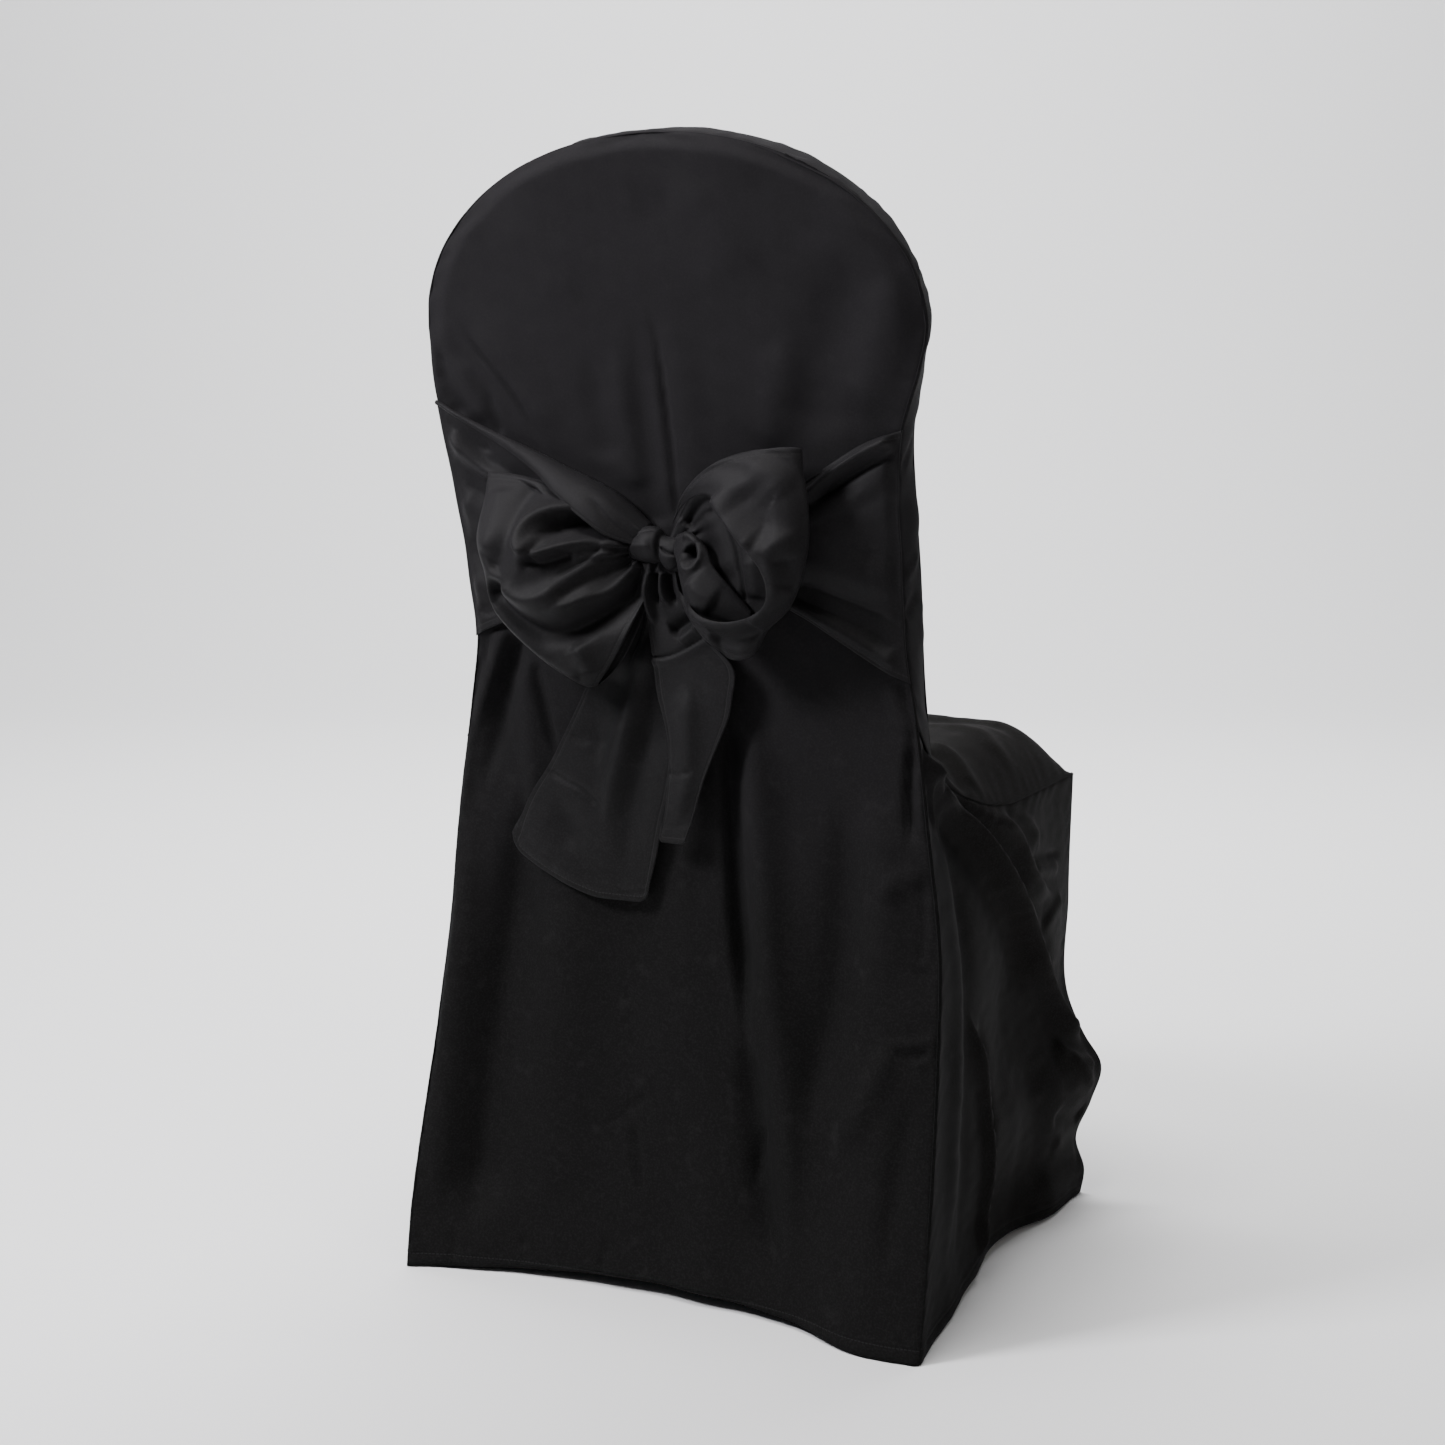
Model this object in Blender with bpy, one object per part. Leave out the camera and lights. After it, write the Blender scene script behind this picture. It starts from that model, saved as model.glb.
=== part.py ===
"""Fitted cover for a banquet chair, with a sash tied in a bow on its back.

Metres, +Z up. The chair's front faces -Y and the bow is on the back, at +Y. The origin is on
the floor under the middle of the cover. Left is +X and right is -X, as seen from behind.
Every panel is a sheet of cloth in the shape in which it hangs over the chair, which is left out.
"""
import math

import bmesh
import bpy
import numpy as np
from mathutils import Vector

# Cloth and sewing
CLOTH = 0.002
SEAM_GAP = 0.0003
BUTT = CLOTH + SEAM_GAP
DRAPE_CLEARANCE = 0.002
CLOTH_COLOUR = (0.011, 0.011, 0.012, 1.0)
CLOTH_ROUGHNESS = 0.42

# The tables measure from the middle of the seat's seams; the cover's box has its middle here
TO_MIDDLE = (0.0022, -0.0048, 0.0)

# Heights on the chair
SEAT_LINE = 0.490
CREASE_HEIGHT = 0.448
ARCH_START = 0.790
ARCH_RISE = 0.141
ARCH_CORNER = math.radians(60)
ARCH_LEAN = -0.006

# Grid of each sheet
PANEL_COLUMNS = 20
SKIRT_ROWS = 13
BACK_ROWS = 9
ARCH_ROWS = 5
SEAT_COLUMNS = 12
SIDE_COLUMNS = 12
BOXING_CELLS = 2
BOXING_SWELL = 0.0015


def table(names, rows):
    """A short table as its named columns."""
    return dict(zip(names.split(), np.array(rows, float).T))


# Rear vertical seams: depth is their place in Y, left and right their distance from the middle
REAR_SEAM = table("height depth left right", [
    (0.00, 0.213, 0.235, 0.233),
    (0.05, 0.203, 0.236, 0.233),
    (0.14, 0.187, 0.230, 0.232),
    (0.23, 0.176, 0.220, 0.231),
    (0.31, 0.167, 0.212, 0.228),
    (0.40, 0.160, 0.206, 0.215),
    (0.49, 0.156, 0.196, 0.202),
    (0.54, 0.155, 0.191, 0.193),
    (0.60, 0.157, 0.197, 0.189),
    (0.66, 0.163, 0.204, 0.188),
    (0.71, 0.170, 0.211, 0.192),
    (0.75, 0.178, 0.215, 0.206),
    (0.79, 0.187, 0.216, 0.216),
    (0.86, 0.204, 0.216, 0.216),
    (0.94, 0.224, 0.216, 0.216)])

# Front edge of the boxing band: rise is how far it sits above the rear seam, inset how much
# further in, against the rear seam's height
FRONT_SEAM = table("height rise inset", [
    (0.49, -0.042, 0.004),
    (0.54, -0.020, 0.002),
    (0.60, -0.004, 0.001),
    (0.70, 0.005, 0.006),
    (0.79, 0.008, 0.015),
    (0.93, 0.005, 0.015)])
BACK_DEPTH = 0.044
FRONT_SWELL = 0.012
# The rear panel rolls over the padded edge of the upper back
ROLL = 0.006
ROLL_REACH = 0.022
ROLL_START = 0.730
ROLL_BLEND = 0.070

# Front vertical seams of the skirt, with the break where the cloth sinks over the foot
FRONT_CORNER = table("height depth left right", [
    (0.000, -0.213, 0.229, 0.226),
    (0.022, -0.214, 0.228, 0.229),
    (0.052, -0.212, 0.224, 0.221),
    (0.088, -0.217, 0.229, 0.233),
    (0.123, -0.222, 0.232, 0.240),
    (0.150, -0.215, 0.222, 0.226),
    (0.180, -0.211, 0.216, 0.213),
    (0.280, -0.211, 0.212, 0.209),
    (0.393, -0.213, 0.210, 0.210)])

# Side edge of the seat, front to crease: half is its distance from the middle
SEAT_SIDE = table("depth half height", [
    (-0.213, 0.210, 0.393),
    (-0.174, 0.211, 0.394),
    (-0.090, 0.213, 0.396),
    (-0.030, 0.213, 0.398),
    (0.046, 0.208, 0.414),
    (0.082, 0.201, 0.431),
    (0.110, 0.194, 0.448)])
SEAT_FRONT_SAG = 0.004
SEAT_CROWN = 0.062
SEAT_ROUND = 0.085
SEAT_REAR_FADE = 0.060

# Hem of the rear panel, from its right corner, -1, to its left corner, 1: how far it hangs in
# from the line between its corners, and its lift off the floor
REAR_HEM = table("along inset lift", [
    (-1.00, 0.000, 0.000),
    (-0.82, -0.004, 0.000),
    (-0.47, 0.021, 0.006),
    (0.00, 0.031, 0.011),
    (0.26, 0.031, 0.010),
    (0.60, 0.025, 0.005),
    (0.86, 0.010, 0.002),
    (1.00, 0.000, 0.000)])
# Hem of the side skirts, from the front seam, 0, to the rear seam, 1
SIDE_HEM = table("along inset lift", [
    (0.00, 0.000, 0.000),
    (0.20, 0.008, 0.003),
    (0.36, 0.024, 0.008),
    (0.55, 0.020, 0.008),
    (0.78, 0.010, 0.003),
    (1.00, 0.000, 0.000)])
# Hem of the front skirt, from the middle, 0, to its corners, 1
FRONT_HEM = table("along inset lift", [
    (0.00, 0.016, 0.006),
    (0.45, 0.012, 0.005),
    (0.80, 0.003, 0.001),
    (1.00, 0.000, 0.000)])
HEM_REACH = 0.42
HEM_LIFT_REACH = 0.25

# Folds: from one point of a panel to another, half width, and height outwards. They fade
# out beside a seam
FOLD_FADE = 0.028
FOLD_NAMES = "a0 b0 a1 b1 width height"
REAR_FOLDS = table(FOLD_NAMES, [
    (0.006, 0.880, 0.003, 0.660, 0.013, -0.0035),
    (-0.016, 0.850, -0.012, 0.680, 0.018, 0.0025),
    (0.026, 0.760, 0.018, 0.650, 0.014, -0.0040),
    (0.176, 0.800, 0.085, 0.670, 0.016, -0.0045),
    (0.150, 0.800, 0.060, 0.680, 0.018, 0.0030),
    (-0.170, 0.860, -0.150, 0.700, 0.022, -0.0035),
    (-0.100, 0.800, -0.035, 0.670, 0.024, 0.0030),
    (0.160, 0.530, 0.178, 0.400, 0.015, -0.0070),
    (0.140, 0.500, 0.150, 0.300, 0.018, 0.0045),
    (0.118, 0.500, 0.104, 0.380, 0.014, -0.0040),
    (-0.046, 0.500, -0.062, 0.270, 0.018, -0.0070),
    (-0.062, 0.270, -0.095, 0.060, 0.020, -0.0060),
    (-0.076, 0.500, -0.094, 0.270, 0.022, 0.0065),
    (-0.094, 0.270, -0.130, 0.060, 0.024, 0.0060),
    (0.024, 0.300, 0.026, 0.060, 0.020, -0.0040),
    (0.060, 0.360, 0.072, 0.050, 0.026, 0.0050),
    (-0.160, 0.430, -0.196, 0.250, 0.018, 0.0050),
    (-0.150, 0.300, -0.160, 0.080, 0.020, -0.0040)])
SIDE_FOLDS_RIGHT = table(FOLD_NAMES, [
    (0.130, 0.455, 0.050, 0.362, 0.018, 0.0080),
    (0.050, 0.362, -0.060, 0.262, 0.020, 0.0100),
    (-0.060, 0.262, -0.170, 0.155, 0.020, 0.0110),
    (0.110, 0.440, 0.020, 0.400, 0.012, 0.0050),
    (0.020, 0.400, -0.110, 0.300, 0.015, 0.0060),
    (0.060, 0.330, -0.060, 0.200, 0.024, -0.0060),
    (0.128, 0.400, 0.118, 0.230, 0.016, 0.0110),
    (0.118, 0.230, 0.150, 0.040, 0.020, 0.0090),
    (0.085, 0.330, 0.080, 0.060, 0.024, -0.0080),
    (-0.010, 0.150, -0.020, 0.020, 0.026, 0.0060),
    (-0.130, 0.085, -0.175, 0.045, 0.018, -0.0060)])
SIDE_FOLDS_LEFT = table(FOLD_NAMES, [
    (0.130, 0.450, 0.030, 0.340, 0.020, 0.0080),
    (0.030, 0.340, -0.150, 0.150, 0.024, 0.0090),
    (0.100, 0.430, -0.090, 0.310, 0.017, 0.0050),
    (0.050, 0.310, -0.050, 0.190, 0.026, -0.0060),
    (0.120, 0.360, 0.135, 0.050, 0.022, 0.0090),
    (0.075, 0.300, 0.070, 0.050, 0.024, -0.0070),
    (-0.030, 0.160, -0.050, 0.020, 0.028, 0.0060)])
FRONT_FOLDS = table(FOLD_NAMES, [
    (0.120, 0.360, 0.150, 0.050, 0.028, 0.0060),
    (-0.105, 0.360, -0.140, 0.060, 0.028, 0.0060),
    (0.020, 0.340, 0.010, 0.060, 0.036, -0.0050),
    (0.180, 0.330, 0.080, 0.200, 0.022, -0.0040),
    (-0.180, 0.330, -0.090, 0.210, 0.022, -0.0040)])

# Gathered runs of the sash, from the side seam, 0, to the knot, 1
SASH_COLUMNS = 12
SASH_ROWS = 14
SASH_LEFT = table("along across low high", [
    (0.00, 0.204, 0.537, 0.731),
    (0.30, 0.145, 0.556, 0.697),
    (0.60, 0.090, 0.582, 0.654),
    (0.85, 0.048, 0.600, 0.632),
    (1.00, 0.0332, 0.606, 0.627)])
SASH_RIGHT = table("along across low high", [
    (0.00, -0.190, 0.521, 0.714),
    (0.20, -0.158, 0.539, 0.701),
    (0.45, -0.110, 0.568, 0.672),
    (0.75, -0.048, 0.594, 0.640),
    (1.00, -0.0103, 0.603, 0.627)])
SASH_SEAM_LIFT = 0.0005
SASH_SEAM_REACH = 0.30
PLEATS = 3.5
PLEAT_HEIGHT = 0.0055
KNOT_SASH_LIFT = 0.001

# Bow: both loops are fans of cloth that run out from the knot and back. Each row is one line
# across the fan: its angle at the knot and at the tip, and its reach, where its front layer
# ends, and how deep it is
LOOP_COLUMNS = 18
LOOP_ROWS = 12
LOOP_NAMES = "across root_angle tip_angle reach rim depth"
LOOP_ROOT = 0.016
LOOP_LEFT = table(LOOP_NAMES, [
    (0.00, 42, 24, 0.144, 0.030, 0.034),
    (0.22, 20, 4, 0.143, 0.024, 0.050),
    (0.45, -5, -18, 0.143, 0.020, 0.056),
    (0.66, -35, -38, 0.133, 0.020, 0.052),
    (0.85, -58, -58, 0.127, 0.020, 0.040),
    (1.00, -74, -68, 0.121, 0.024, 0.028)])
LOOP_RIGHT = table(LOOP_NAMES, [
    (0.00, 66, 35, 0.144, 0.064, 0.038),
    (0.20, 42, 20, 0.140, 0.074, 0.052),
    (0.42, 14, 4, 0.128, 0.084, 0.060),
    (0.62, -12, -14, 0.117, 0.094, 0.056),
    (0.80, -36, -34, 0.104, 0.076, 0.046),
    (1.00, -60, -54, 0.098, 0.034, 0.030)])
# Folds of each loop's front layer: from one point of the fan to another, how far out from the
# knot and how far across, with half width in the same shares, and height towards the viewer
FAN_FOLD_NAMES = "out0 across0 out1 across1 width height"
LOOP_FOLDS_LEFT = table(FAN_FOLD_NAMES, [
    (0.28, 0.14, 0.44, 0.20, 0.13, -0.016),
    (0.64, 0.04, 0.62, 0.26, 0.09, 0.006),
    (0.55, 0.32, 0.20, 0.34, 0.08, 0.006),
    (0.86, 0.42, 0.30, 0.58, 0.09, 0.007),
    (0.74, 0.62, 0.38, 0.78, 0.08, -0.010)])
LOOP_FOLDS_RIGHT = table(FAN_FOLD_NAMES, [
    (0.52, 0.06, 0.76, 0.34, 0.09, 0.007),
    (0.80, 0.06, 0.95, 0.30, 0.09, -0.008),
    (0.80, 0.50, 0.95, 0.62, 0.09, -0.005),
    (0.50, 0.82, 0.85, 0.86, 0.08, -0.005)])
BOW_LEFT = (0.0204, 0.616)
BOW_RIGHT = (0.0022, 0.616)
BOW_SEAT = 0.018
LOOP_WAVES = 2.5
LOOP_WAVE_HEIGHT = 0.0035

# Free tails, from the knot down: their edges and how far they stand off the panel
TAIL_COLUMNS = 7
TAIL_ROWS = 12
TAIL_LEFT = table("height right left stand", [
    (0.598, 0.012, 0.028, 0.0085),
    (0.560, 0.006, 0.054, 0.0100),
    (0.500, 0.000, 0.080, 0.0100),
    (0.430, 0.003, 0.110, 0.0090),
    (0.385, 0.012, 0.133, 0.0065),
    (0.330, 0.022, 0.150, 0.0046)])
TAIL_RIGHT = table("height right left stand", [
    (0.6013, -0.006, 0.012, 0.0185),
    (0.565, -0.028, 0.020, 0.0200),
    (0.530, -0.052, 0.015, 0.0200),
    (0.490, -0.050, 0.010, 0.0190),
    (0.440, -0.036, 0.001, 0.0180),
    (0.383, -0.016, 0.006, 0.0170)])
TAIL_LEFT_SLANT = 0.036
TAIL_CURL = 0.003
TAIL_PLEAT = 0.002

KNOT_PLACE = (0.0115, 0.1745, 0.617)
KNOT_SIZE = (0.0245, 0.0125, 0.0150)
KNOT_WAIST = 0.28
KNOT_WAIST_AT = -0.18
KNOT_WAIST_WIDTH = 0.22


def smooth(rows, given, wanted, x):
    """Value of one column at x of another, on a soft curve through a table's rows."""
    at = rows[given]
    values = rows[wanted]
    if at[0] > at[-1]:
        at = at[::-1]
        values = values[::-1]
    slopes = np.gradient(values, at)
    x = min(max(x, at[0]), at[-1])
    i = min(int(np.searchsorted(at, x, side="right")) - 1, len(at) - 2)
    step = at[i + 1] - at[i]
    t = (x - at[i]) / step
    start = (1 + 2 * t) * (1 - t) ** 2 * values[i] + t * (1 - t) ** 2 * step * slopes[i]
    end = t * t * (3 - 2 * t) * values[i + 1] + t * t * (t - 1) * step * slopes[i + 1]
    return float(start + end)


def ease(t):
    """0 below 0, 1 above 1, and a soft step between them."""
    t = min(max(t, 0.0), 1.0)
    return t * t * (3 - 2 * t)


def rounded(t):
    """0 at 0 and 1 from 1 on, rising like the edge of a cushion."""
    return 1 - (1 - min(max(t, 0.0), 1.0)) ** 2.4


def folds(rows, a, b):
    """Height of all of a panel's folds at its point (a, b)."""
    total = 0.0
    for a0, b0, a1, b1, width, height in zip(*rows.values()):
        length = math.hypot(a1 - a0, b1 - b0)
        along = ((a - a0) * (a1 - a0) + (b - b0) * (b1 - b0)) / length
        across = ((a - a0) * (b1 - b0) - (b - b0) * (a1 - a0)) / length
        ends = ease(along / length * 4 + 0.5) * ease((length - along) / length * 4 + 0.5)
        total += height * math.exp(-(across / width) ** 2) * ends
    return total


def lerp(a, b, t):
    return a + (b - a) * t


# Outline of the back

def half_width(side, z):
    """Signed distance of the rear seam from the middle: side is 1 on the left, -1 on the right."""
    base = smooth(REAR_SEAM, "height", "left" if side > 0 else "right", min(z, ARCH_START))
    if z <= ARCH_START:
        return side * base
    climb = min((z - ARCH_START) / ARCH_RISE, 1.0)
    return side * base * math.sqrt(1 - climb * climb) + ARCH_LEAN * climb


def seam_depth(z):
    return smooth(REAR_SEAM, "height", "depth", z)


def back_heights():
    """Heights of the rear panel's rows, hem to the arch's corner."""
    heights = [SEAT_LINE * j / SKIRT_ROWS for j in range(SKIRT_ROWS)]
    heights += [lerp(SEAT_LINE, ARCH_START, j / BACK_ROWS) for j in range(BACK_ROWS)]
    heights += [ARCH_START + ARCH_RISE * math.sin(ARCH_CORNER * j / ARCH_ROWS)
                for j in range(ARCH_ROWS + 1)]
    return heights


HEIGHTS = back_heights()
ARCH_BLEND_START = 0.70


def arch_height(x):
    """Height of the arch over the point x of its top stretch."""
    base = abs(half_width(1, ARCH_START))
    centre = x - ARCH_LEAN * 0.95
    return ARCH_START + ARCH_RISE * math.sqrt(max(1 - (centre / base) ** 2, 0.0))


def edge_distance(x, z):
    """Roughly how far a point of the rear panel is from its seam."""
    if z <= ARCH_START:
        return abs(half_width(math.copysign(1, x), z)) - abs(x)
    climb = (z - ARCH_START) / ARCH_RISE
    reach = half_width(1, ARCH_START)
    return reach * (1 - math.hypot((x - ARCH_LEAN * climb) / reach, climb))


def rolled(z):
    """How far the seam lies forward of the padded back where the rear panel rolls over it."""
    return ROLL * ease((z - ROLL_START) / ROLL_BLEND)


def rear_depth(x, z):
    """Place in Y of the rear panel's outer face."""
    edge = max(edge_distance(x, z), 0.0)
    along = min(max(x / abs(half_width(math.copysign(1, x), z)), -1), 1) if z < HEM_REACH else 1
    hem = smooth(REAR_HEM, "along", "inset", along) * ease(1 - z / HEM_REACH)
    roll = rolled(z) * (1 - ease(edge / ROLL_REACH))
    calm = ease(edge / FOLD_FADE)
    return seam_depth(z) - hem - roll + folds(REAR_FOLDS, x, z) * calm


def seam_drop(side, z):
    """How far the rear panel falls forward within one thickness of cloth from its seam."""
    column = (half_width(1, z) - half_width(-1, z)) / PANEL_COLUMNS
    inside = rear_depth(half_width(side, z) - side * column, z)
    return max(rear_depth(half_width(side, z), z) - inside, 0.0) * CLOTH / column


def rear_point(i, j):
    """Point of the rear panel's outer face, column i from the right and row j from the hem."""
    u = i / PANEL_COLUMNS
    z = HEIGHTS[j]
    right = half_width(-1, z)
    left = half_width(1, z)
    x = lerp(right, left, u)
    top = (z - ARCH_BLEND_START) / (HEIGHTS[-1] - ARCH_BLEND_START)
    if top > 0 and 0 < i < PANEL_COLUMNS:
        crest = arch_height(lerp(half_width(-1, HEIGHTS[-1]), half_width(1, HEIGHTS[-1]), u))
        z += (crest - HEIGHTS[-1]) * ease(top) ** 2
    if z < HEM_LIFT_REACH:
        z += max(smooth(REAR_HEM, "along", "lift", 2 * u - 1), 0.0) * (1 - z / HEM_LIFT_REACH)
    return Vector((x, rear_depth(x, z), z))


# Sheets

def cloth_material():
    material = bpy.data.materials.new("cover_satin")
    material.use_nodes = True
    shader = material.node_tree.nodes["Principled BSDF"]
    shader.inputs["Base Color"].default_value = CLOTH_COLOUR
    shader.inputs["Roughness"].default_value = CLOTH_ROUGHNESS
    shader.inputs["Metallic"].default_value = 0.0
    material.diffuse_color = CLOTH_COLOUR
    return material


def finish(name, bm, material):
    """Turn a bmesh into one named, smooth object with its own material."""
    bmesh.ops.translate(bm, verts=bm.verts[:], vec=TO_MIDDLE)
    bmesh.ops.recalc_face_normals(bm, faces=bm.faces[:])
    mesh = bpy.data.meshes.new(name)
    bm.to_mesh(mesh)
    bm.free()
    mesh.materials.append(material.copy())
    mesh.shade_smooth()
    mesh.set_sharp_from_angle(angle=math.radians(50))
    obj = bpy.data.objects.new(name, mesh)
    bpy.context.scene.collection.objects.link(obj)
    return obj


def sheet(name, columns, rows, outer, inner, material):
    """A flat grid given a second layer, then bent so that its two faces lie where they hang."""
    bm = bmesh.new()
    bmesh.ops.create_grid(bm, x_segments=columns, y_segments=rows, size=0.5)
    second = bmesh.ops.extrude_face_region(bm, geom=bm.faces[:], use_keep_orig=True)
    lifted = {item for item in second["geom"] if isinstance(item, bmesh.types.BMVert)}
    for vert in bm.verts:
        i = round((vert.co.x + 0.5) * columns)
        j = round((vert.co.y + 0.5) * rows)
        vert.co = outer(i, j) if vert in lifted else inner(i, j)
    return finish(name, bm, material)


def bent_sheet(name, columns, rows, middle, material):
    """A sheet from its middle surface, with half of the cloth on each side of it."""
    step = 1e-4

    def face(i, j, side):
        u = min(max(i / columns, step), 1 - step)
        v = min(max(j / rows, step), 1 - step)
        along = middle(u + step, v) - middle(u - step, v)
        across = middle(u, v + step) - middle(u, v - step)
        normal = along.cross(across).normalized()
        return middle(i / columns, j / rows) + normal * (side * CLOTH / 2)

    return sheet(name, columns, rows, lambda i, j: face(i, j, 1), lambda i, j: face(i, j, -1),
                 material)


def shifted(point, shift):
    """The same surface moved by the cloth's thickness."""
    return lambda i, j: point(i, j) + Vector(shift)


def rear_panel(material):
    return sheet("rear_panel", PANEL_COLUMNS, len(HEIGHTS) - 1, rear_point,
                 shifted(rear_point, (0, -CLOTH, 0)), material)


# Boxing band and front panel

def rear_outline():
    """Seam points of the back's outline, from the right seat line over the arch to the left."""
    rows = range(SKIRT_ROWS, len(HEIGHTS))
    right = [rear_point(0, j) for j in rows]
    top = [rear_point(i, len(HEIGHTS) - 1) for i in range(1, PANEL_COLUMNS)]
    left = [rear_point(PANEL_COLUMNS, j) for j in reversed(rows)]
    return right + top + left


def front_seam_point(rear):
    """Point of the front panel's edge that faces a point of the rear outline."""
    rise = smooth(FRONT_SEAM, "height", "rise", rear.z)
    inset = smooth(FRONT_SEAM, "height", "inset", rear.z)
    reach = abs(half_width(1, ARCH_START))
    return Vector((rear.x * (1 - inset / reach), rear.y - BACK_DEPTH, rear.z + rise))


def outline_normals(points):
    """Outward direction at each point of an outline in an upright plane, level at its ends."""
    normals = []
    for k in range(1, len(points) - 1):
        along = points[k + 1] - points[k - 1]
        normals.append(Vector((-along.z, 0, along.x)).normalized())
    return [Vector((-1, 0, 0))] + normals + [Vector((1, 0, 0))]


def boxing_band(material):
    rear = rear_outline()
    front = [front_seam_point(point) for point in rear]
    last = len(rear) - 1
    for end in (0, last):
        front[end].z -= CLOTH
    out = outline_normals(rear)

    def outer(i, j):
        start = front[i] + Vector((0, BUTT, 0))
        end = rear[i] - Vector((0, BUTT, 0))
        v = j / BOXING_CELLS
        swell = BOXING_SWELL * math.sin(math.pi * v) * ease(min(i, last - i) / 3)
        return start.lerp(end, v) + out[i] * swell

    def inner(i, j):
        point = outer(i, j) - out[i] * CLOTH
        if j == BOXING_CELLS and rear[i].z < ARCH_START:
            point.y -= seam_drop(math.copysign(1, point.x), rear[i].z)
        return point

    return sheet("boxing_band", last, BOXING_CELLS, outer, inner, material)


def front_point(i, j):
    """Point of the front panel's outer face, column i from the right and row j from the seat."""
    rows = len(HEIGHTS) - 1 - SKIRT_ROWS
    rear = rear_point(i, SKIRT_ROWS + j)
    rear.y = seam_depth(rear.z) - rolled(rear.z)
    point = front_seam_point(rear)
    across = math.sin(math.pi * i / PANEL_COLUMNS)
    point.y -= FRONT_SWELL * across ** 0.7 * ease(j / 3) * ease((rows - j) / 3)
    if j == 0:
        point.z += SEAM_GAP
    return point


def front_panel(material):
    return sheet("front_panel", PANEL_COLUMNS, len(HEIGHTS) - 1 - SKIRT_ROWS, front_point,
                 shifted(front_point, (0, CLOTH, 0)), material)


# Seat

def side_stations():
    """Where the side skirt's columns stand, front seam 0 to rear seam 1."""
    crease = crease_station()
    front = [crease * k / SIDE_COLUMNS for k in range(SIDE_COLUMNS + 1)]
    return front + [lerp(crease, 1, k / BOXING_CELLS) for k in range(1, BOXING_CELLS + 1)]


def crease_depth():
    """Place in Y of the front panel's inner face at the seat."""
    return front_seam_point(rear_point(0, SKIRT_ROWS)).y + CLOTH


def crease_station():
    front = FRONT_CORNER["depth"][-1] + BUTT
    rear = seam_depth(SEAT_LINE) - BUTT
    return (crease_depth() + SEAM_GAP - front) / (rear - front)


def seat_edge(side, y):
    """The seat's side edge at a place in Y."""
    crease = front_seam_point(rear_point(PANEL_COLUMNS if side > 0 else 0, SKIRT_ROWS))
    half = smooth(SEAT_SIDE, "depth", "half", y)
    blend = ease((y - 0.03) / (crease_depth() - 0.03))
    x = lerp(side * half, crease.x, blend)
    return Vector((x, y, smooth(SEAT_SIDE, "depth", "height", y)))


def seat_point(i, j):
    """Point of the seat's outer face, column i from the right and row j from the front."""
    front = FRONT_CORNER["depth"][-1]
    v = j / SIDE_COLUMNS
    y = lerp(front, crease_depth(), v)
    right = seat_edge(-1, y)
    left = seat_edge(1, y)
    u = i / SEAT_COLUMNS
    point = right.lerp(left, u)
    if 0 < i < SEAT_COLUMNS and j == 0:
        point.z += SEAT_FRONT_SAG * math.sin(math.pi * u)
    elif 0 < i < SEAT_COLUMNS:
        from_side = min(u, 1 - u) * (left.x - right.x)
        dome = rounded(from_side / SEAT_ROUND) * lerp(0.15, 1, rounded((y - front) / SEAT_ROUND))
        crown = lerp(point.z, FRONT_CORNER["height"][-1] + SEAT_CROWN, dome)
        point.z = lerp(CREASE_HEIGHT, crown, ease((crease_depth() - y) / SEAT_REAR_FADE))
    return point


def seat_panel(material):
    return sheet("seat_panel", SEAT_COLUMNS, SIDE_COLUMNS, seat_point,
                 shifted(seat_point, (0, 0, -CLOTH)), material)


# Skirts

def corner(side, z):
    """The front vertical seam of the skirt."""
    x = smooth(FRONT_CORNER, "height", "left" if side > 0 else "right", z)
    return Vector((side * x, smooth(FRONT_CORNER, "height", "depth", z), z))


def skirt_point(side, station, j):
    """Point of a side skirt's outer face: station 0 at the front seam, row j from the hem."""
    share = j / SKIRT_ROWS
    crease = crease_station()
    front_top = FRONT_CORNER["depth"][-1]
    if station <= crease:
        y_top = lerp(front_top, crease_depth(), station / crease)
        top = seat_edge(side, y_top)
    else:
        seam = rear_point(PANEL_COLUMNS if side > 0 else 0, SKIRT_ROWS)
        start = front_seam_point(seam)
        seam.z += CLOTH
        top = start.lerp(seam, (station - crease) / (1 - crease))
    top.z -= BUTT
    z = top.z * share
    z += max(smooth(SIDE_HEM, "along", "lift", station), 0.0) * (1 - ease(share * 2))
    front = corner(side, min(z, FRONT_CORNER["height"][-1]))
    rear_x = half_width(side, z)
    weight = (1 - station) ** 1.6
    y = lerp(front.y + BUTT, seam_depth(z) - BUTT, station)
    base = lerp(rear_x, front.x, weight)
    top_base = lerp(half_width(side, top.z), corner(side, FRONT_CORNER["height"][-1]).x, weight)
    x = base + (top.x - top_base) * ease((share - 0.45) / 0.55)
    x -= side * smooth(SIDE_HEM, "along", "inset", station) * ease(1 - z / HEM_REACH)
    rows = SIDE_FOLDS_LEFT if side > 0 else SIDE_FOLDS_RIGHT
    calm = ease(station / 0.08) * ease((1 - station) / 0.08) * ease((1 - share) / 0.12)
    x += side * folds(rows, y, z) * calm
    return Vector((x, y, z))


def side_skirt(name, side, material):
    stations = side_stations()
    last = len(stations) - 1

    def outer(i, j):
        return skirt_point(side, stations[i], j)

    def inner(i, j):
        point = outer(i, j) - Vector((side * CLOTH, 0, 0))
        if i == last:
            point.y -= seam_drop(side, point.z)
        return point

    return sheet(name, last, SKIRT_ROWS, outer, inner, material)


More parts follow.
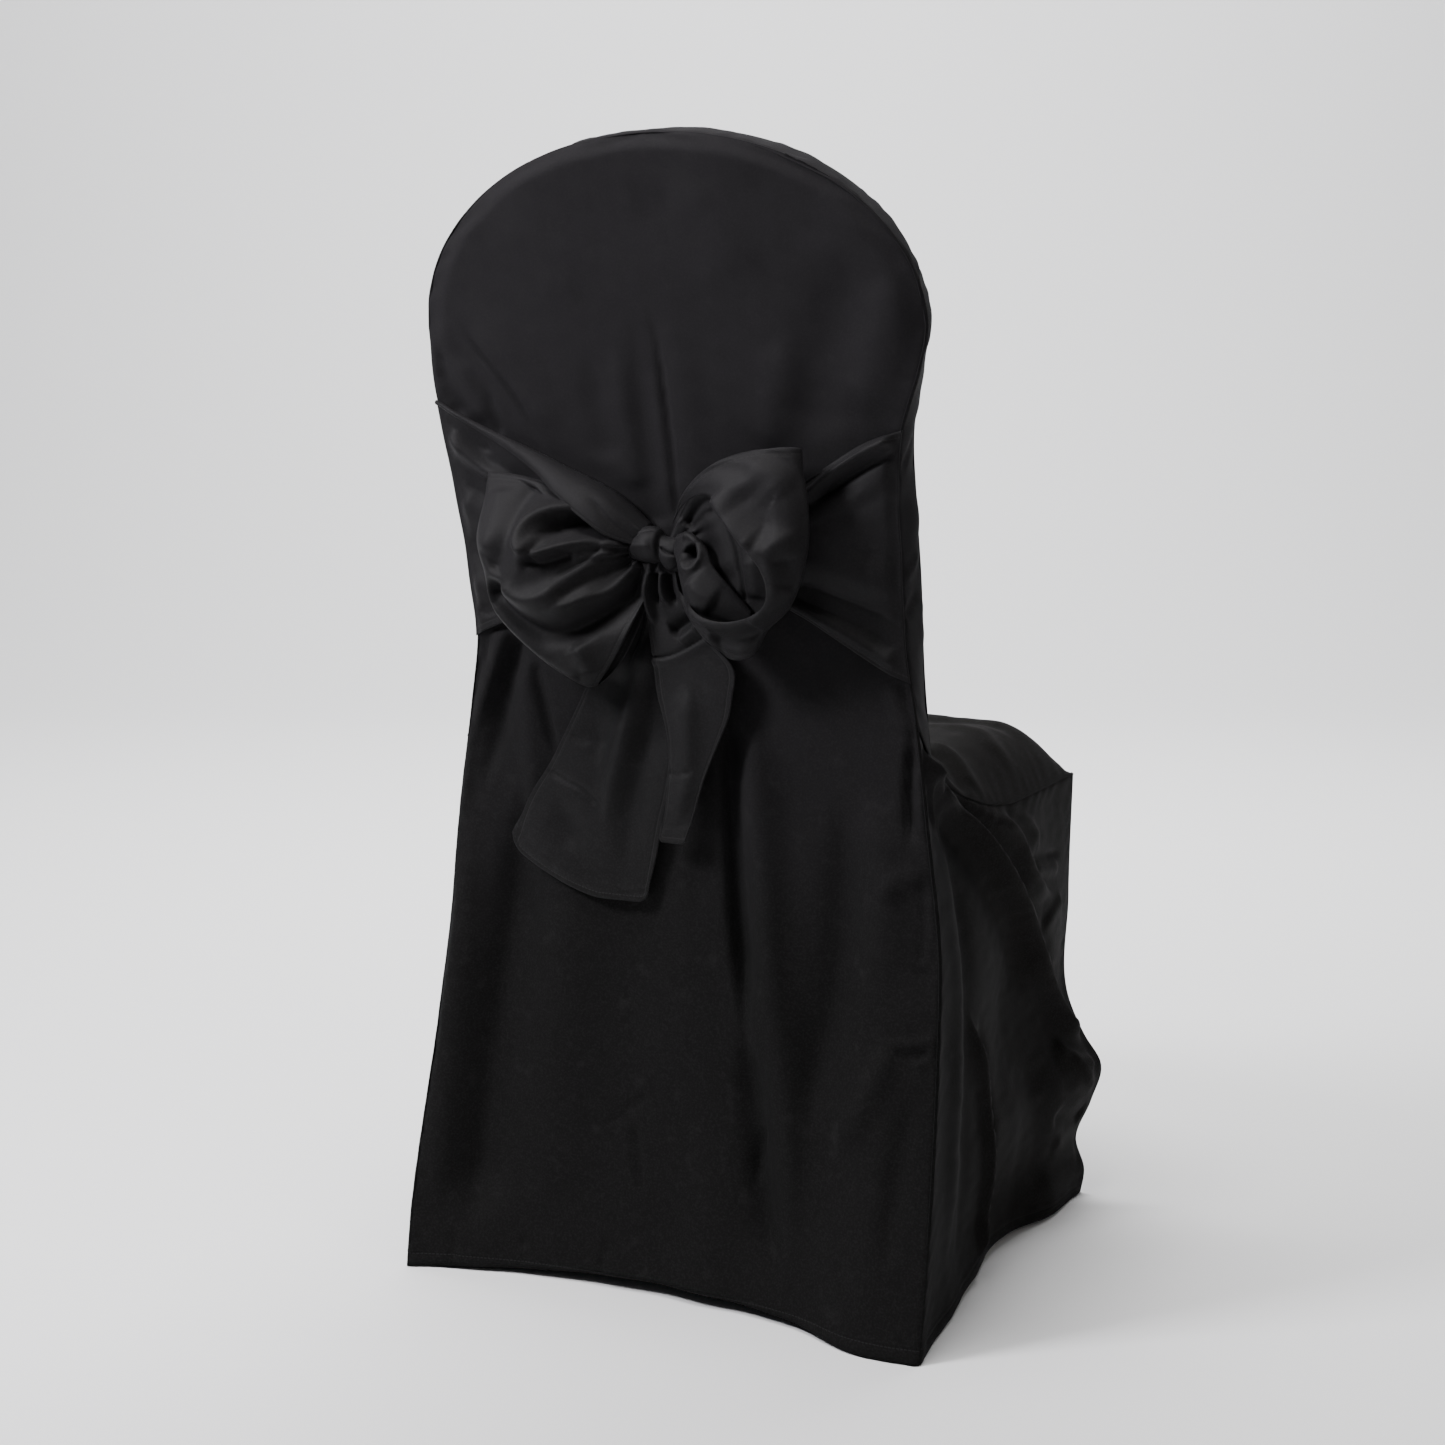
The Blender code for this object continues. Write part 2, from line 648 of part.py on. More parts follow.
def front_skirt(material):
    def outer(i, j):
        u = i / SEAT_COLUMNS
        share = j / SKIRT_ROWS
        top = seat_point(i, 0).z - BUTT
        z = top * share
        from_middle = abs(2 * u - 1)
        z += max(smooth(FRONT_HEM, "along", "lift", from_middle), 0.0) * (1 - ease(share * 2))
        right = corner(-1, z)
        left = corner(1, z)
        point = right.lerp(left, u)
        point.z = z
        point.y += smooth(FRONT_HEM, "along", "inset", from_middle) * ease(1 - z / HEM_REACH)
        calm = ease(min(u, 1 - u) / 0.06) * ease((1 - share) / 0.12)
        point.y -= folds(FRONT_FOLDS, point.x, z) * calm
        return point

    return sheet("front_skirt", SEAT_COLUMNS, SKIRT_ROWS, outer,
                 shifted(outer, (0, CLOTH, 0)), material)


# Sash

def sash_run(name, side, rows, material):
    """One tie from the side seam, where it is sewn in flat, to the knot, where it is gathered."""
    def middle(u, v):
        low = smooth(rows, "along", "low", u)
        high = smooth(rows, "along", "high", u)
        z = lerp(low, high, v)
        to_seam = half_width(side, z) - rows["across"][0]
        x = smooth(rows, "along", "across", u) + to_seam * max(1 - u / SASH_SEAM_REACH, 0) ** 2
        gather = ease(u * 1.15)
        pleat = 0.5 - 0.5 * math.cos(2 * math.pi * PLEATS * v)
        lift = lerp(SASH_SEAM_LIFT, DRAPE_CLEARANCE, ease(u * 12)) + KNOT_SASH_LIFT * gather
        stand = lift + CLOTH / 2 + PLEAT_HEIGHT * pleat * gather
        return Vector((x, rear_depth(x, z) + stand, z))

    return bent_sheet(name, SASH_COLUMNS, SASH_ROWS, middle, material)


def bow_loop(name, side, centre, rows, relief, material):
    """A fan of cloth that leaves the knot, turns at its tip and comes back over itself."""
    seat = seam_depth(centre[1]) + BOW_SEAT

    def middle(u, v):
        reach = smooth(rows, "across", "reach", v)
        rim = smooth(rows, "across", "rim", v)
        depth = smooth(rows, "across", "depth", v)
        end = 2 * math.pi - math.acos(max(1 - 2 * (rim - LOOP_ROOT) / (reach - LOOP_ROOT), -1))
        turn = end * u
        out = (1 - math.cos(turn)) / 2
        radius = LOOP_ROOT + (reach - LOOP_ROOT) * out
        angle = math.radians(lerp(smooth(rows, "across", "root_angle", v),
                                  smooth(rows, "across", "tip_angle", v), out))
        swell = depth / 2 * math.sin(turn) * math.sqrt(max(out, 0))
        wave = LOOP_WAVE_HEIGHT * math.sin(2 * math.pi * LOOP_WAVES * v) * math.sin(math.pi * out)
        front = ease((turn / math.pi - 1) * 3)
        y = seat + depth / 2 * ease(out * 1.6) - swell + wave * ease(u * 2)
        y += folds(relief, out, v) * front
        return Vector((centre[0] + side * radius * math.cos(angle), y,
                       centre[1] + radius * math.sin(angle)))

    return bent_sheet(name, LOOP_COLUMNS, LOOP_ROWS, middle, material)


def tail(name, rows, slant, material):
    """A free end of the sash, from under the knot to its slanted hem."""
    top = rows["height"][0]
    bottom = rows["height"][-1]

    def middle(u, v):
        z = lerp(top, bottom, v)
        right = smooth(rows, "height", "right", z)
        left = smooth(rows, "height", "left", z)
        x = lerp(right, left, u)
        z += slant * v ** 2 * (max(u - 0.35, 0) / 0.65) ** 1.5
        stand = smooth(rows, "height", "stand", lerp(top, bottom, v))
        pleat = math.cos(3 * math.pi * u) * TAIL_PLEAT * (1 - ease(v * 1.6))
        curl = TAIL_CURL * math.sin(math.pi * (u * 1.4 + v * 1.2))
        return Vector((x, rear_depth(x, z) + stand + pleat + curl * ease(v * 2), z))

    return bent_sheet(name, TAIL_COLUMNS, TAIL_ROWS, middle, material)


def bow_knot(material):
    """The knot: a small pillow with a waist where one tie crosses the other."""
    bm = bmesh.new()
    bmesh.ops.create_uvsphere(bm, u_segments=14, v_segments=9, radius=1)
    for vert in bm.verts:
        spot = vert.co.copy()
        waist = 1 - KNOT_WAIST * math.exp(-((spot.x - KNOT_WAIST_AT) / KNOT_WAIST_WIDTH) ** 2)
        vert.co = Vector((KNOT_PLACE[0] + spot.x * KNOT_SIZE[0],
                          KNOT_PLACE[1] + spot.y * KNOT_SIZE[1] * waist,
                          KNOT_PLACE[2] + spot.z * KNOT_SIZE[2] * waist))
    return finish("bow_knot", bm, material)


def main():
    for old in list(bpy.data.objects):
        bpy.data.objects.remove(old)
    satin = cloth_material()
    rear_panel(satin)
    boxing_band(satin)
    front_panel(satin)
    seat_panel(satin)
    side_skirt("side_skirt_right", -1, satin)
    side_skirt("side_skirt_left", 1, satin)
    front_skirt(satin)
    sash_run("sash_run_left", 1, SASH_LEFT, satin)
    sash_run("sash_run_right", -1, SASH_RIGHT, satin)
    bow_loop("bow_loop_left", 1, BOW_LEFT, LOOP_LEFT, LOOP_FOLDS_LEFT, satin)
    bow_loop("bow_loop_right", -1, BOW_RIGHT, LOOP_RIGHT, LOOP_FOLDS_RIGHT, satin)
    tail("tail_left", TAIL_LEFT, TAIL_LEFT_SLANT, satin)
    tail("tail_right", TAIL_RIGHT, 0.0, satin)
    bow_knot(satin)


main()
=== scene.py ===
"""Chair cover with a sash tied in a bow: the finished look of the cover, in black satin.

Every panel is a fine grid of cloth bent to the surface in which it hangs, with its main creases
placed one by one. Metres, +Z up; the chair's front faces -Y and the bow is at +Y.
"""
import math

import bmesh
import bpy
import numpy as np
from mathutils import Matrix, Vector


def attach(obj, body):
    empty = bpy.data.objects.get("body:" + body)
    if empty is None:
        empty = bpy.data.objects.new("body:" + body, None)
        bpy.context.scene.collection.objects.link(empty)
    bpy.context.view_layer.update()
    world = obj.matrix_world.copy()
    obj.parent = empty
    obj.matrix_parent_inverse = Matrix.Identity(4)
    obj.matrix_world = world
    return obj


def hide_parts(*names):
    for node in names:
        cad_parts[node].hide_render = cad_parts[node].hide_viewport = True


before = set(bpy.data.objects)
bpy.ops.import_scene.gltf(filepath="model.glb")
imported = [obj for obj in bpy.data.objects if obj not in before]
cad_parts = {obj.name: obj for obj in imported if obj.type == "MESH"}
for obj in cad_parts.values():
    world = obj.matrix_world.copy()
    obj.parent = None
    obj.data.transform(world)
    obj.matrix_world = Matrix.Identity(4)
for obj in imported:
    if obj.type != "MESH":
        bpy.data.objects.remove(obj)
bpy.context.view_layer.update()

TO_MIDDLE = np.array((0.0022, -0.0048, 0.0))

CLOTH = 0.0008
SASH_CLOTH = 0.0009

# Grid cells of the panels, wider where less of them is seen
PANEL_CELL = 0.0031
SKIRT_CELL = 0.0034
FRONT_SKIRT_CELL = 0.0042
FRONT_PANEL_CELL = 0.005
SEAM_LINES = (0.0012, 0.0024, 0.0038, 0.0055)
HEM_LINES = (0.004, 0.008, 0.01, 0.0115, 0.013, 0.0145, 0.017)

# Sizes along the weave, for the grids and the thread pattern
PANEL_WIDTH = 0.432
BOXING_LENGTH = 1.15
SEAT_WIDTH = 0.42
SEAT_DEPTH = 0.323
SKIRT_DEPTH = 0.38
SKIRT_HEIGHT = 0.45
FRONT_SKIRT_WIDTH = 0.44
TIE_LENGTH = 0.21
TIE_CUT_WIDTH = 0.2
TIE_SEAM_HEIGHT = 0.19
TONGUE_LENGTH = 0.085
TONGUE_WIDTH = 0.035

SEAT_LINE = 0.49
CREASE_HEIGHT = 0.448
ARCH_START = 0.79
ARCH_RISE = 0.145
ARCH_CORNER = math.radians(60)
ARCH_LEAN = -0.006
ARCH_TOP = ARCH_START + ARCH_RISE * math.sin(ARCH_CORNER)
ARCH_BLEND_START = 0.7


def table(names, rows):
    """A short table as its named columns."""
    return dict(zip(names.split(), np.array(rows, float).T))


REAR_SEAM = table("height depth left right", [
    (0.0, 0.213, 0.235, 0.233),
    (0.05, 0.203, 0.236, 0.233),
    (0.14, 0.187, 0.23, 0.232),
    (0.23, 0.176, 0.22, 0.231),
    (0.31, 0.167, 0.212, 0.228),
    (0.4, 0.16, 0.206, 0.215),
    (0.49, 0.156, 0.196, 0.202),
    (0.54, 0.155, 0.191, 0.193),
    (0.6, 0.157, 0.197, 0.189),
    (0.66, 0.163, 0.204, 0.188),
    (0.71, 0.17, 0.211, 0.192),
    (0.75, 0.178, 0.215, 0.206),
    (0.79, 0.187, 0.216, 0.216),
    (0.86, 0.204, 0.216, 0.216),
    (0.94, 0.224, 0.216, 0.216)])
FRONT_SEAM = table("height rise inset", [
    (0.49, -0.042, 0.004),
    (0.54, -0.02, 0.002),
    (0.6, -0.004, 0.001),
    (0.7, 0.005, 0.006),
    (0.79, 0.008, 0.015),
    (0.93, 0.005, 0.015)])
BACK_DEPTH = 0.044
FRONT_SWELL = 0.012
ROLL = 0.006
ROLL_REACH = 0.022
ROLL_START = 0.73
ROLL_BLEND = 0.07

FRONT_CORNER = table("height depth left right", [
    (0.0, -0.213, 0.229, 0.226),
    (0.022, -0.214, 0.228, 0.229),
    (0.052, -0.212, 0.224, 0.221),
    (0.088, -0.217, 0.229, 0.233),
    (0.123, -0.222, 0.232, 0.24),
    (0.15, -0.215, 0.222, 0.226),
    (0.18, -0.211, 0.216, 0.213),
    (0.28, -0.211, 0.212, 0.209),
    (0.393, -0.213, 0.21, 0.21)])
SEAT_SIDE = table("depth half height", [
    (-0.213, 0.21, 0.393),
    (-0.174, 0.211, 0.394),
    (-0.09, 0.213, 0.396),
    (-0.03, 0.213, 0.398),
    (0.046, 0.208, 0.414),
    (0.082, 0.201, 0.431),
    (0.11, 0.194, 0.448)])
SEAT_FRONT = -0.213
SEAT_FRONT_HEIGHT = 0.393
SEAT_CROWN = 0.053
SEAT_ROUND = 0.066
SEAT_REAR_FADE = 0.06

REAR_HEM = table("along inset lift", [
    (-1.0, 0.0, 0.0),
    (-0.82, -0.004, 0.0),
    (-0.47, 0.021, 0.006),
    (0.0, 0.031, 0.011),
    (0.26, 0.031, 0.01),
    (0.6, 0.025, 0.005),
    (0.86, 0.01, 0.002),
    (1.0, 0.0, 0.0)])
SIDE_HEM = table("along inset lift", [
    (0.0, 0.0, 0.0),
    (0.2, 0.008, 0.003),
    (0.36, 0.024, 0.008),
    (0.55, 0.02, 0.008),
    (0.78, 0.01, 0.003),
    (1.0, 0.0, 0.0)])
FRONT_HEM = table("along inset lift", [
    (0.0, 0.016, 0.006),
    (0.45, 0.012, 0.005),
    (0.8, 0.003, 0.001),
    (1.0, 0.0, 0.0)])
HEM_REACH = 0.42
HEM_LIFT_REACH = 0.25
HEM_WIDTH = 0.013
HEM_STEP = 0.0006
SEAM_DIP = 0.0013
SEAM_WIDTH = 0.0022
PUCKER = 0.0004
PUCKER_REACH = 0.016
PUCKER_LENGTH = 0.021


def folds(rows):
    """Crease rows with their lengths in metres, from rows with them in millimetres."""
    return [(width / 1000, height / 1000, lean, fade_in, fade_out,
             *((a / 1000, b / 1000) for a, b in places))
            for width, height, lean, fade_in, fade_out, *places in rows]


# Creases in millimetres: half width, height outwards, lean (above 0 the side to the left of the
# path is the wide one), the share of the length over which it starts and ends, and its places
BACK_CREASES = folds([
    (3.2, -4, 0.4, 0.45, 0.02, (11, 815), (6, 785), (4, 749), (2, 700), (0, 640)),
    (13, 2.2, 0, 0.45, 0.1, (-6, 830), (-12, 770), (-14, 710), (-12, 650)),
    (13, -3.4, 0, 0.5, 0.05, (24, 800), (25, 740), (23, 685), (19, 632)),
    (5, 1, 0, 0.45, 0.1, (10, 780), (11, 720), (9, 650)),
    (12, 2.6, 0, 0.45, 0.1, (44, 790), (41, 730), (36, 660)),
    (15, -3, 0, 0.45, 0.2, (70, 770), (64, 720), (56, 680)),
    (3, -3.4, -0.4, 0.35, 0.4, (190, 803), (169, 772), (146, 744), (130, 718), (108, 682)),
    (16, 3.4, 0.1, 0.35, 0.3, (172, 814), (148, 775), (122, 738), (96, 692)),
    (12, -1.8, 0, 0.35, 0.3, (196, 790), (178, 752), (158, 722)),
    (4, -3.2, 0, 0.3, 0.2, (167, 742), (160, 718), (156, 700)),
    (6, -3.6, 0, 0.2, 0.2, (206, 775), (202, 747), (188, 715)),
    (8, 3, 0, 0.3, 0.2, (192, 770), (180, 738), (170, 712)),
    (24, -5, 0, 0.35, 0.2, (-168, 850), (-145, 795), (-127, 755), (-116, 700)),
    (18, 4, 0, 0.35, 0.2, (-198, 840), (-180, 775), (-160, 722)),
    (17, 3.2, 0, 0.35, 0.2, (-110, 790), (-92, 735), (-78, 690)),
    (16, 2.6, 0.2, 0.35, 0.35, (-23, 915), (-39, 884), (-65, 852), (-100, 832)),
    (18, -2.2, 0, 0.35, 0.35, (20, 900), (-20, 865), (-58, 830)),
    (22, 2.4, 0, 0.35, 0.35, (150, 880), (100, 850), (60, 800)),
    (22, -2.2, 0, 0.35, 0.35, (-60, 905), (-110, 885), (-160, 850)),
    (7.5, 8, 0.3, 0.1, 0.35, (160, 545), (172, 512), (184, 478), (194, 450)),
    (9, -8.5, 0, 0.05, 0.4, (152, 540), (163, 490), (176, 440), (186, 400)),
    (4.5, -4.5, 0, 0.1, 0.3, (136, 520), (127, 490), (120, 464), (113, 435)),
    (12, 5, 0, 0.1, 0.4, (144, 520), (140, 470), (134, 410), (130, 330)),
    (3, -2.5, 0, 0.2, 0.3, (180, 538), (184, 512)),
    (22, -13.5, -0.2, 0.3, 0.15, (136, 440), (150, 346), (166, 231), (178, 116), (186, 25)),
    (16, 6.8, 0, 0.35, 0.15, (192, 400), (200, 300), (210, 160), (216, 40)),
    (30, 7, 0, 0.35, 0.2, (98, 420), (104, 293), (118, 149), (122, 40)),
    (10.5, -13, -0.45, 0.15, 0.3, (-36, 500), (-43, 420), (-50, 330), (-58, 262), (-63, 215)),
    (19, 10.5, 0.1, 0.2, 0.25, (-60, 500), (-72, 400), (-84, 290), (-100, 170), (-112, 60)),
    (12, -8.5, 0, 0.3, 0.25, (-60, 250), (-71, 160), (-80, 90), (-102, 18)),
    (4.5, -3.5, 0.3, 0.25, 0.3, (-82, 160), (-74, 130), (-70, 96)),
    (30, 3, 0, 0.35, 0.2, (0, 420), (-12, 280), (-30, 120), (-38, 20)),
    (4.2, -3.4, 0.2, 0.25, 0.3, (41, 145), (36, 108), (30, 74)),
    (4.5, -2, 0, 0.3, 0.35, (24, 176), (42, 152), (76, 130)),
    (3, -2.2, 0, 0.3, 0.1, (59, 44), (67, 10)),
    (3, -1.8, 0, 0.3, 0.1, (138, 36), (134, 8)),
    (3.5, -2.5, 0, 0.3, 0.1, (200, 32), (197, 3)),
    (18, -10, 0, 0.3, 0.35, (-142, 440), (-146, 330), (-134, 240), (-124, 180), (-133, 140)),
    (12, 5.5, 0, 0.3, 0.3, (-198, 250), (-170, 190), (-142, 146)),
    (20, 5, 0, 0.3, 0.3, (-170, 440), (-178, 380), (-182, 320), (-178, 270)),
    (9, -3.5, 0, 0.3, 0.2, (-214, 213), (-204, 150), (-198, 60)),
    (4, 2.6, 0.3, 0.5, 0.15, (-178, 246), (-198, 243.5), (-216, 245), (-232, 252)),
    (4.5, -2.6, 0, 0.5, 0.25, (-190, 236), (-208, 234.5), (-226, 239)),
    (3, 2, 0, 0.4, 0.2, (-206, 220), (-219, 229), (-231, 246)),
    (2.2, -3, 0, 0.15, 0.15, (-186.5, 522), (-193.5, 505), (-200.5, 488)),
    (1.8, -2.2, 0, 0.15, 0.15, (-190.5, 522), (-197, 507), (-203, 492)),
    (6, 3, 0, 0.2, 0.2, (-176, 522), (-186, 498), (-196, 480)),
    (2.2, -4.2, 0.1, 0.2, 0.25, (-197.5, 490), (-198.5, 476), (-202, 462), (-207, 447)),
    (7, 5, 0, 0.15, 0.3, (-205, 488), (-209, 460), (-211, 425), (-211, 395)),
    (4.5, -7, -0.4, 0.2, 0.3, (-196.5, 480), (-195, 450), (-195.5, 422), (-200, 390)),
    (10, 4, 0, 0.3, 0.3, (-176, 350), (-190, 366), (-205, 372), (-217, 371)),
    (2, -1.6, 0, 0.2, 0.15, (-211, 372), (-213, 330), (-211, 300)),
    (2, -1.6, 0, 0.2, 0.15, (-220, 372), (-223, 330), (-223, 300)),
    (2, -2.2, 0, 0.15, 0.05, (-207, 299), (-222, 299), (-230, 301))])
# The same on the hidden mirror of that side, a plain tuck
LEFT_TUCK = folds([
    (2.2, -3, 0, 0.15, 0.15, (186.5, 520), (190.5, 500), (194, 484)),
    (6, 4, 0, 0.2, 0.3, (196, 470), (200, 430), (205, 380))])

# Creases of the side skirts, by depth and height
SIDE_CREASES_RIGHT = folds([
    (8.5, 17.5, 0.6, 0.03, 0.1, (150, 468), (134, 456), (95, 426), (47, 389), (-4, 343),
     (-57, 295), (-114, 234), (-166, 180), (-205, 146)),
    (20, -7.5, 0, 0.1, 0.2, (112, 424), (70, 384), (20, 338), (-40, 276), (-100, 212)),
    (8, 9, 0.45, 0.03, 0.2, (142, 462), (112, 449), (66, 425), (30, 406), (-8, 387), (-40, 366),
     (-67, 338), (-109, 309), (-160, 290)),
    (11, -5, 0, 0.1, 0.25, (90, 428), (40, 394), (0, 366), (-40, 334), (-85, 300)),
    (4.5, 5, 0.2, 0.2, 0.25, (46, 413), (10, 404), (-14, 391), (-27, 378)),
    (7, 3.4, 0.3, 0.2, 0.25, (-13, 396), (-50, 385), (-78, 370), (-99, 352), (-96, 338)),
    (4.5, -2.8, 0, 0.2, 0.2, (-78, 342), (-105, 337), (-128, 333), (-177, 325)),
    (6, 3.5, 0, 0.25, 0.2, (-85, 329), (-125, 322), (-170, 314)),
    (9, 2.8, 0.3, 0.2, 0.15, (-128, 262), (-150, 276), (-180, 284)),
    (12, -2, 0, 0.25, 0.25, (-120, 290), (-140, 250), (-150, 210)),
    (5.5, 10, 0.55, 0.25, 0.1, (82, 250), (66, 218), (50, 187), (40, 160), (31, 114), (25, 60),
     (19, 12)),
    (10, -8, 0, 0.25, 0.1, (60, 240), (34, 190), (16, 120), (6, 40)),
    (16, 4, 0, 0.15, 0.25, (130, 420), (124, 340), (122, 260), (132, 150), (142, 40)),
    (16, -4, 0, 0.2, 0.25, (104, 400), (96, 320), (92, 230), (94, 120), (98, 30)),
    (22, -2.6, 0, 0.25, 0.3, (70, 350), (20, 300), (-20, 240), (-50, 160)),
    (26, 3.6, 0, 0.3, 0.2, (-20, 190), (-50, 110), (-60, 30)),
    (20, -3, 0, 0.25, 0.15, (-80, 170), (-110, 90), (-120, 20)),
    (8, 6, 0.3, 0.2, 0.15, (-140, 160), (-175, 140), (-205, 128)),
    (9, -5, 0, 0.2, 0.1, (-130, 98), (-165, 85), (-205, 78)),
    (8, 3.4, 0, 0.2, 0.1, (-140, 70), (-175, 52), (-205, 45)),
    (6, 2.2, 0, 0.2, 0.15, (-160, 148), (-185, 122), (-205, 104)),
    (4, 4, 0, 0.1, 0.25, (150, 458), (138, 430), (130, 400))])
SIDE_CREASES_LEFT = folds([
    (9, 14, 0.45, 0.03, 0.15, (148, 462), (110, 426), (50, 360), (-20, 290), (-100, 205),
     (-170, 140)),
    (12, -9, 0, 0.1, 0.25, (108, 400), (50, 335), (-10, 260), (-60, 190)),
    (8, 9, 0.35, 0.05, 0.25, (132, 455), (70, 415), (0, 370), (-70, 325), (-120, 300)),
    (10, -6, 0, 0.15, 0.25, (60, 390), (0, 345), (-60, 296)),
    (6, 5, 0.2, 0.2, 0.25, (20, 404), (-40, 388), (-90, 360)),
    (15, 9, 0, 0.15, 0.2, (124, 390), (118, 280), (128, 150), (138, 30)),
    (14, -8, 0, 0.2, 0.2, (88, 360), (80, 240), (78, 120), (80, 20)),
    (12, 8.5, 0.3, 0.25, 0.1, (50, 250), (26, 170), (12, 90), (8, 15)),
    (16, -6, 0, 0.25, 0.15, (-40, 180), (-56, 100), (-60, 20)),
    (20, 5.5, 0, 0.3, 0.15, (-90, 200), (-110, 110), (-116, 20)),
    (7, -5, 0, 0.2, 0.1, (-130, 98), (-165, 88), (-205, 82)),
    (5, -3.5, 0, 0.25, 0.2, (-60, 352), (-110, 340), (-160, 336))])
FRONT_CREASES = folds([
    (24, 7, 0, 0.2, 0.1, (116, 372), (128, 260), (140, 140), (148, 20)),
    (15, -6, 0, 0.25, 0.1, (80, 340), (84, 220), (92, 100), (96, 20)),
    (24, 6.5, 0, 0.2, 0.1, (-100, 372), (-112, 250), (-130, 130), (-138, 20)),
    (15, -5.5, 0, 0.25, 0.1, (-62, 330), (-70, 200), (-82, 80), (-86, 15)),
    (30, -6, 0, 0.25, 0.15, (20, 350), (14, 200), (10, 40)),
    (12, -4.5, 0.2, 0.15, 0.35, (192, 372), (150, 300), (104, 220)),
    (12, -4.5, -0.2, 0.15, 0.35, (-192, 372), (-150, 300), (-106, 230)),
    (10, 4, 0, 0.2, 0.2, (210, 140), (180, 110), (150, 100)),
    (10, 4, 0, 0.2, 0.2, (-210, 150), (-180, 118), (-150, 106)),
    (8, -4, 0, 0.2, 0.3, (-212, 72), (-176, 64), (-140, 70))])
# Creases of the boxing band, by the run along it and its depth
BOXING_CREASES = folds([
    (3.5, -1.6, 0, 0.2, 0.3, (80, 44), (95, 26), (100, 10)),
    (4, 1.8, 0, 0.2, 0.3, (110, 42), (118, 22), (130, 8)),
    (4, -1.8, 0, 0.2, 0.3, (190, 42), (205, 20), (214, 6)),
    (4.5, -1.6, 0, 0.25, 0.3, (270, 40), (276, 16)),
    (6, 1.6, 0, 0.25, 0.3, (340, 36), (352, 12)),
    (6, -1.4, 0, 0.25, 0.3, (470, 36), (482, 10)),
    (6, 1.4, 0, 0.25, 0.3, (640, 34), (632, 10)),
    (5, -1.6, 0, 0.25, 0.3, (800, 38), (792, 12)),
    (4, 1.6, 0, 0.25, 0.3, (900, 40), (912, 12)),
    (4, -1.8, 0, 0.2, 0.3, (985, 42), (972, 16)),
    (4, 1.8, 0, 0.2, 0.3, (1060, 42), (1044, 10))])
# Creases of the seat, by side and depth
SEAT_CREASES = folds([
    (7, 8.5, 0.2, 0.05, 0.25, (-196, 104), (-180, 72), (-158, 44), (-128, 26)),
    (6, -7.5, 0, 0.05, 0.25, (-178, 104), (-162, 70), (-138, 48)),
    (6, 7, 0.2, 0.05, 0.25, (-160, 108), (-146, 80), (-118, 60)),
    (7, -4.5, 0, 0.15, 0.3, (-206, 60), (-182, 30), (-150, 6)),
    (8, 4, 0, 0.15, 0.3, (-208, 30), (-180, 4), (-140, -20)),
    (13, 3, 0, 0.25, 0.3, (-206, -60), (-160, -90), (-100, -100)),
    (13, -3, 0, 0.25, 0.3, (-190, -130), (-130, -140), (-60, -120)),
    (7, 5.5, -0.2, 0.05, 0.25, (196, 104), (176, 70), (150, 46), (110, 34)),
    (6, -5, 0, 0.05, 0.25, (174, 106), (156, 76), (130, 58)),
    (14, 3, 0, 0.25, 0.3, (190, -50), (130, -80), (60, -70)),
    (14, -2.8, 0, 0.25, 0.3, (60, 60), (0, 30), (-60, 50))])
FRONT_PANEL_CREASES = folds([
    (22, 3.5, 0, 0.3, 0.3, (150, 780), (80, 690), (30, 560)),
    (22, -3.5, 0, 0.3, 0.3, (-150, 800), (-100, 690), (-70, 560)),
    (20, 3, 0, 0.3, 0.3, (-170, 640), (-100, 580), (-30, 500)),
    (8, -3.5, 0, 0.1, 0.3, (180, 500), (140, 540), (100, 560)),
    (8, -3.5, 0, 0.1, 0.3, (-184, 490), (-150, 520), (-110, 535)),
    (15, 3, 0, 0.2, 0.3, (20, 880), (10, 820), (-10, 760))])

# Ties from the side seams, 0, to the knot, 1. The left one's top is turned down to the front
TIE_LEFT = table("along across low high", [
    (0.0, 0.204, 0.537, 0.731),
    (0.16, 0.172, 0.547, 0.713),
    (0.3, 0.145, 0.556, 0.7015),
    (0.45, 0.116, 0.569, 0.69),
    (0.6, 0.09, 0.582, 0.679),
    (0.75, 0.064, 0.593, 0.668),
    (0.88, 0.044, 0.603, 0.6565),
    (1.0, 0.02, 0.61, 0.636)])
TIE_RIGHT = table("along across low high", [
    (0.0, -0.19, 0.521, 0.714),
    (0.2, -0.158, 0.539, 0.701),
    (0.45, -0.11, 0.568, 0.672),
    (0.75, -0.048, 0.594, 0.64),
    (1.0, -0.0103, 0.603, 0.627)])
TURNED_STRIP = table("along width front", [
    (0.0, 0.003, 0.0012),
    (0.16, 0.005, 0.0022),
    (0.3, 0.009, 0.004),
    (0.45, 0.0145, 0.012),
    (0.6, 0.0215, 0.0235),
    (0.75, 0.028, 0.028),
    (0.88, 0.03, 0.024),
    (1.0, 0.018, 0.011)])
STRIP_SHARE = 0.26
TIE_SEAM_REACH = 0.3
TIE_STAND = 0.0026
TIE_CREASES_LEFT = folds([
    (6, 7, 0.2, 0.1, 0.3, (206, 704), (186, 688), (166, 674), (140, 668)),
    (5, -4, 0, 0.1, 0.3, (204, 719), (184, 704), (160, 688)),
    (8, -4.5, 0, 0.1, 0.3, (203, 680), (180, 664), (156, 652)),
    (12, 4, 0, 0.25, 0.2, (200, 650), (178, 636), (160, 628)),
    (10, -4, 0, 0.25, 0.2, (196, 616), (176, 610), (158, 606)),
    (11, 4.5, 0, 0.25, 0.2, (192, 580), (172, 580), (150, 584)),
    (5, -4, 0, 0.25, 0.2, (190, 556), (166, 564), (140, 574))])
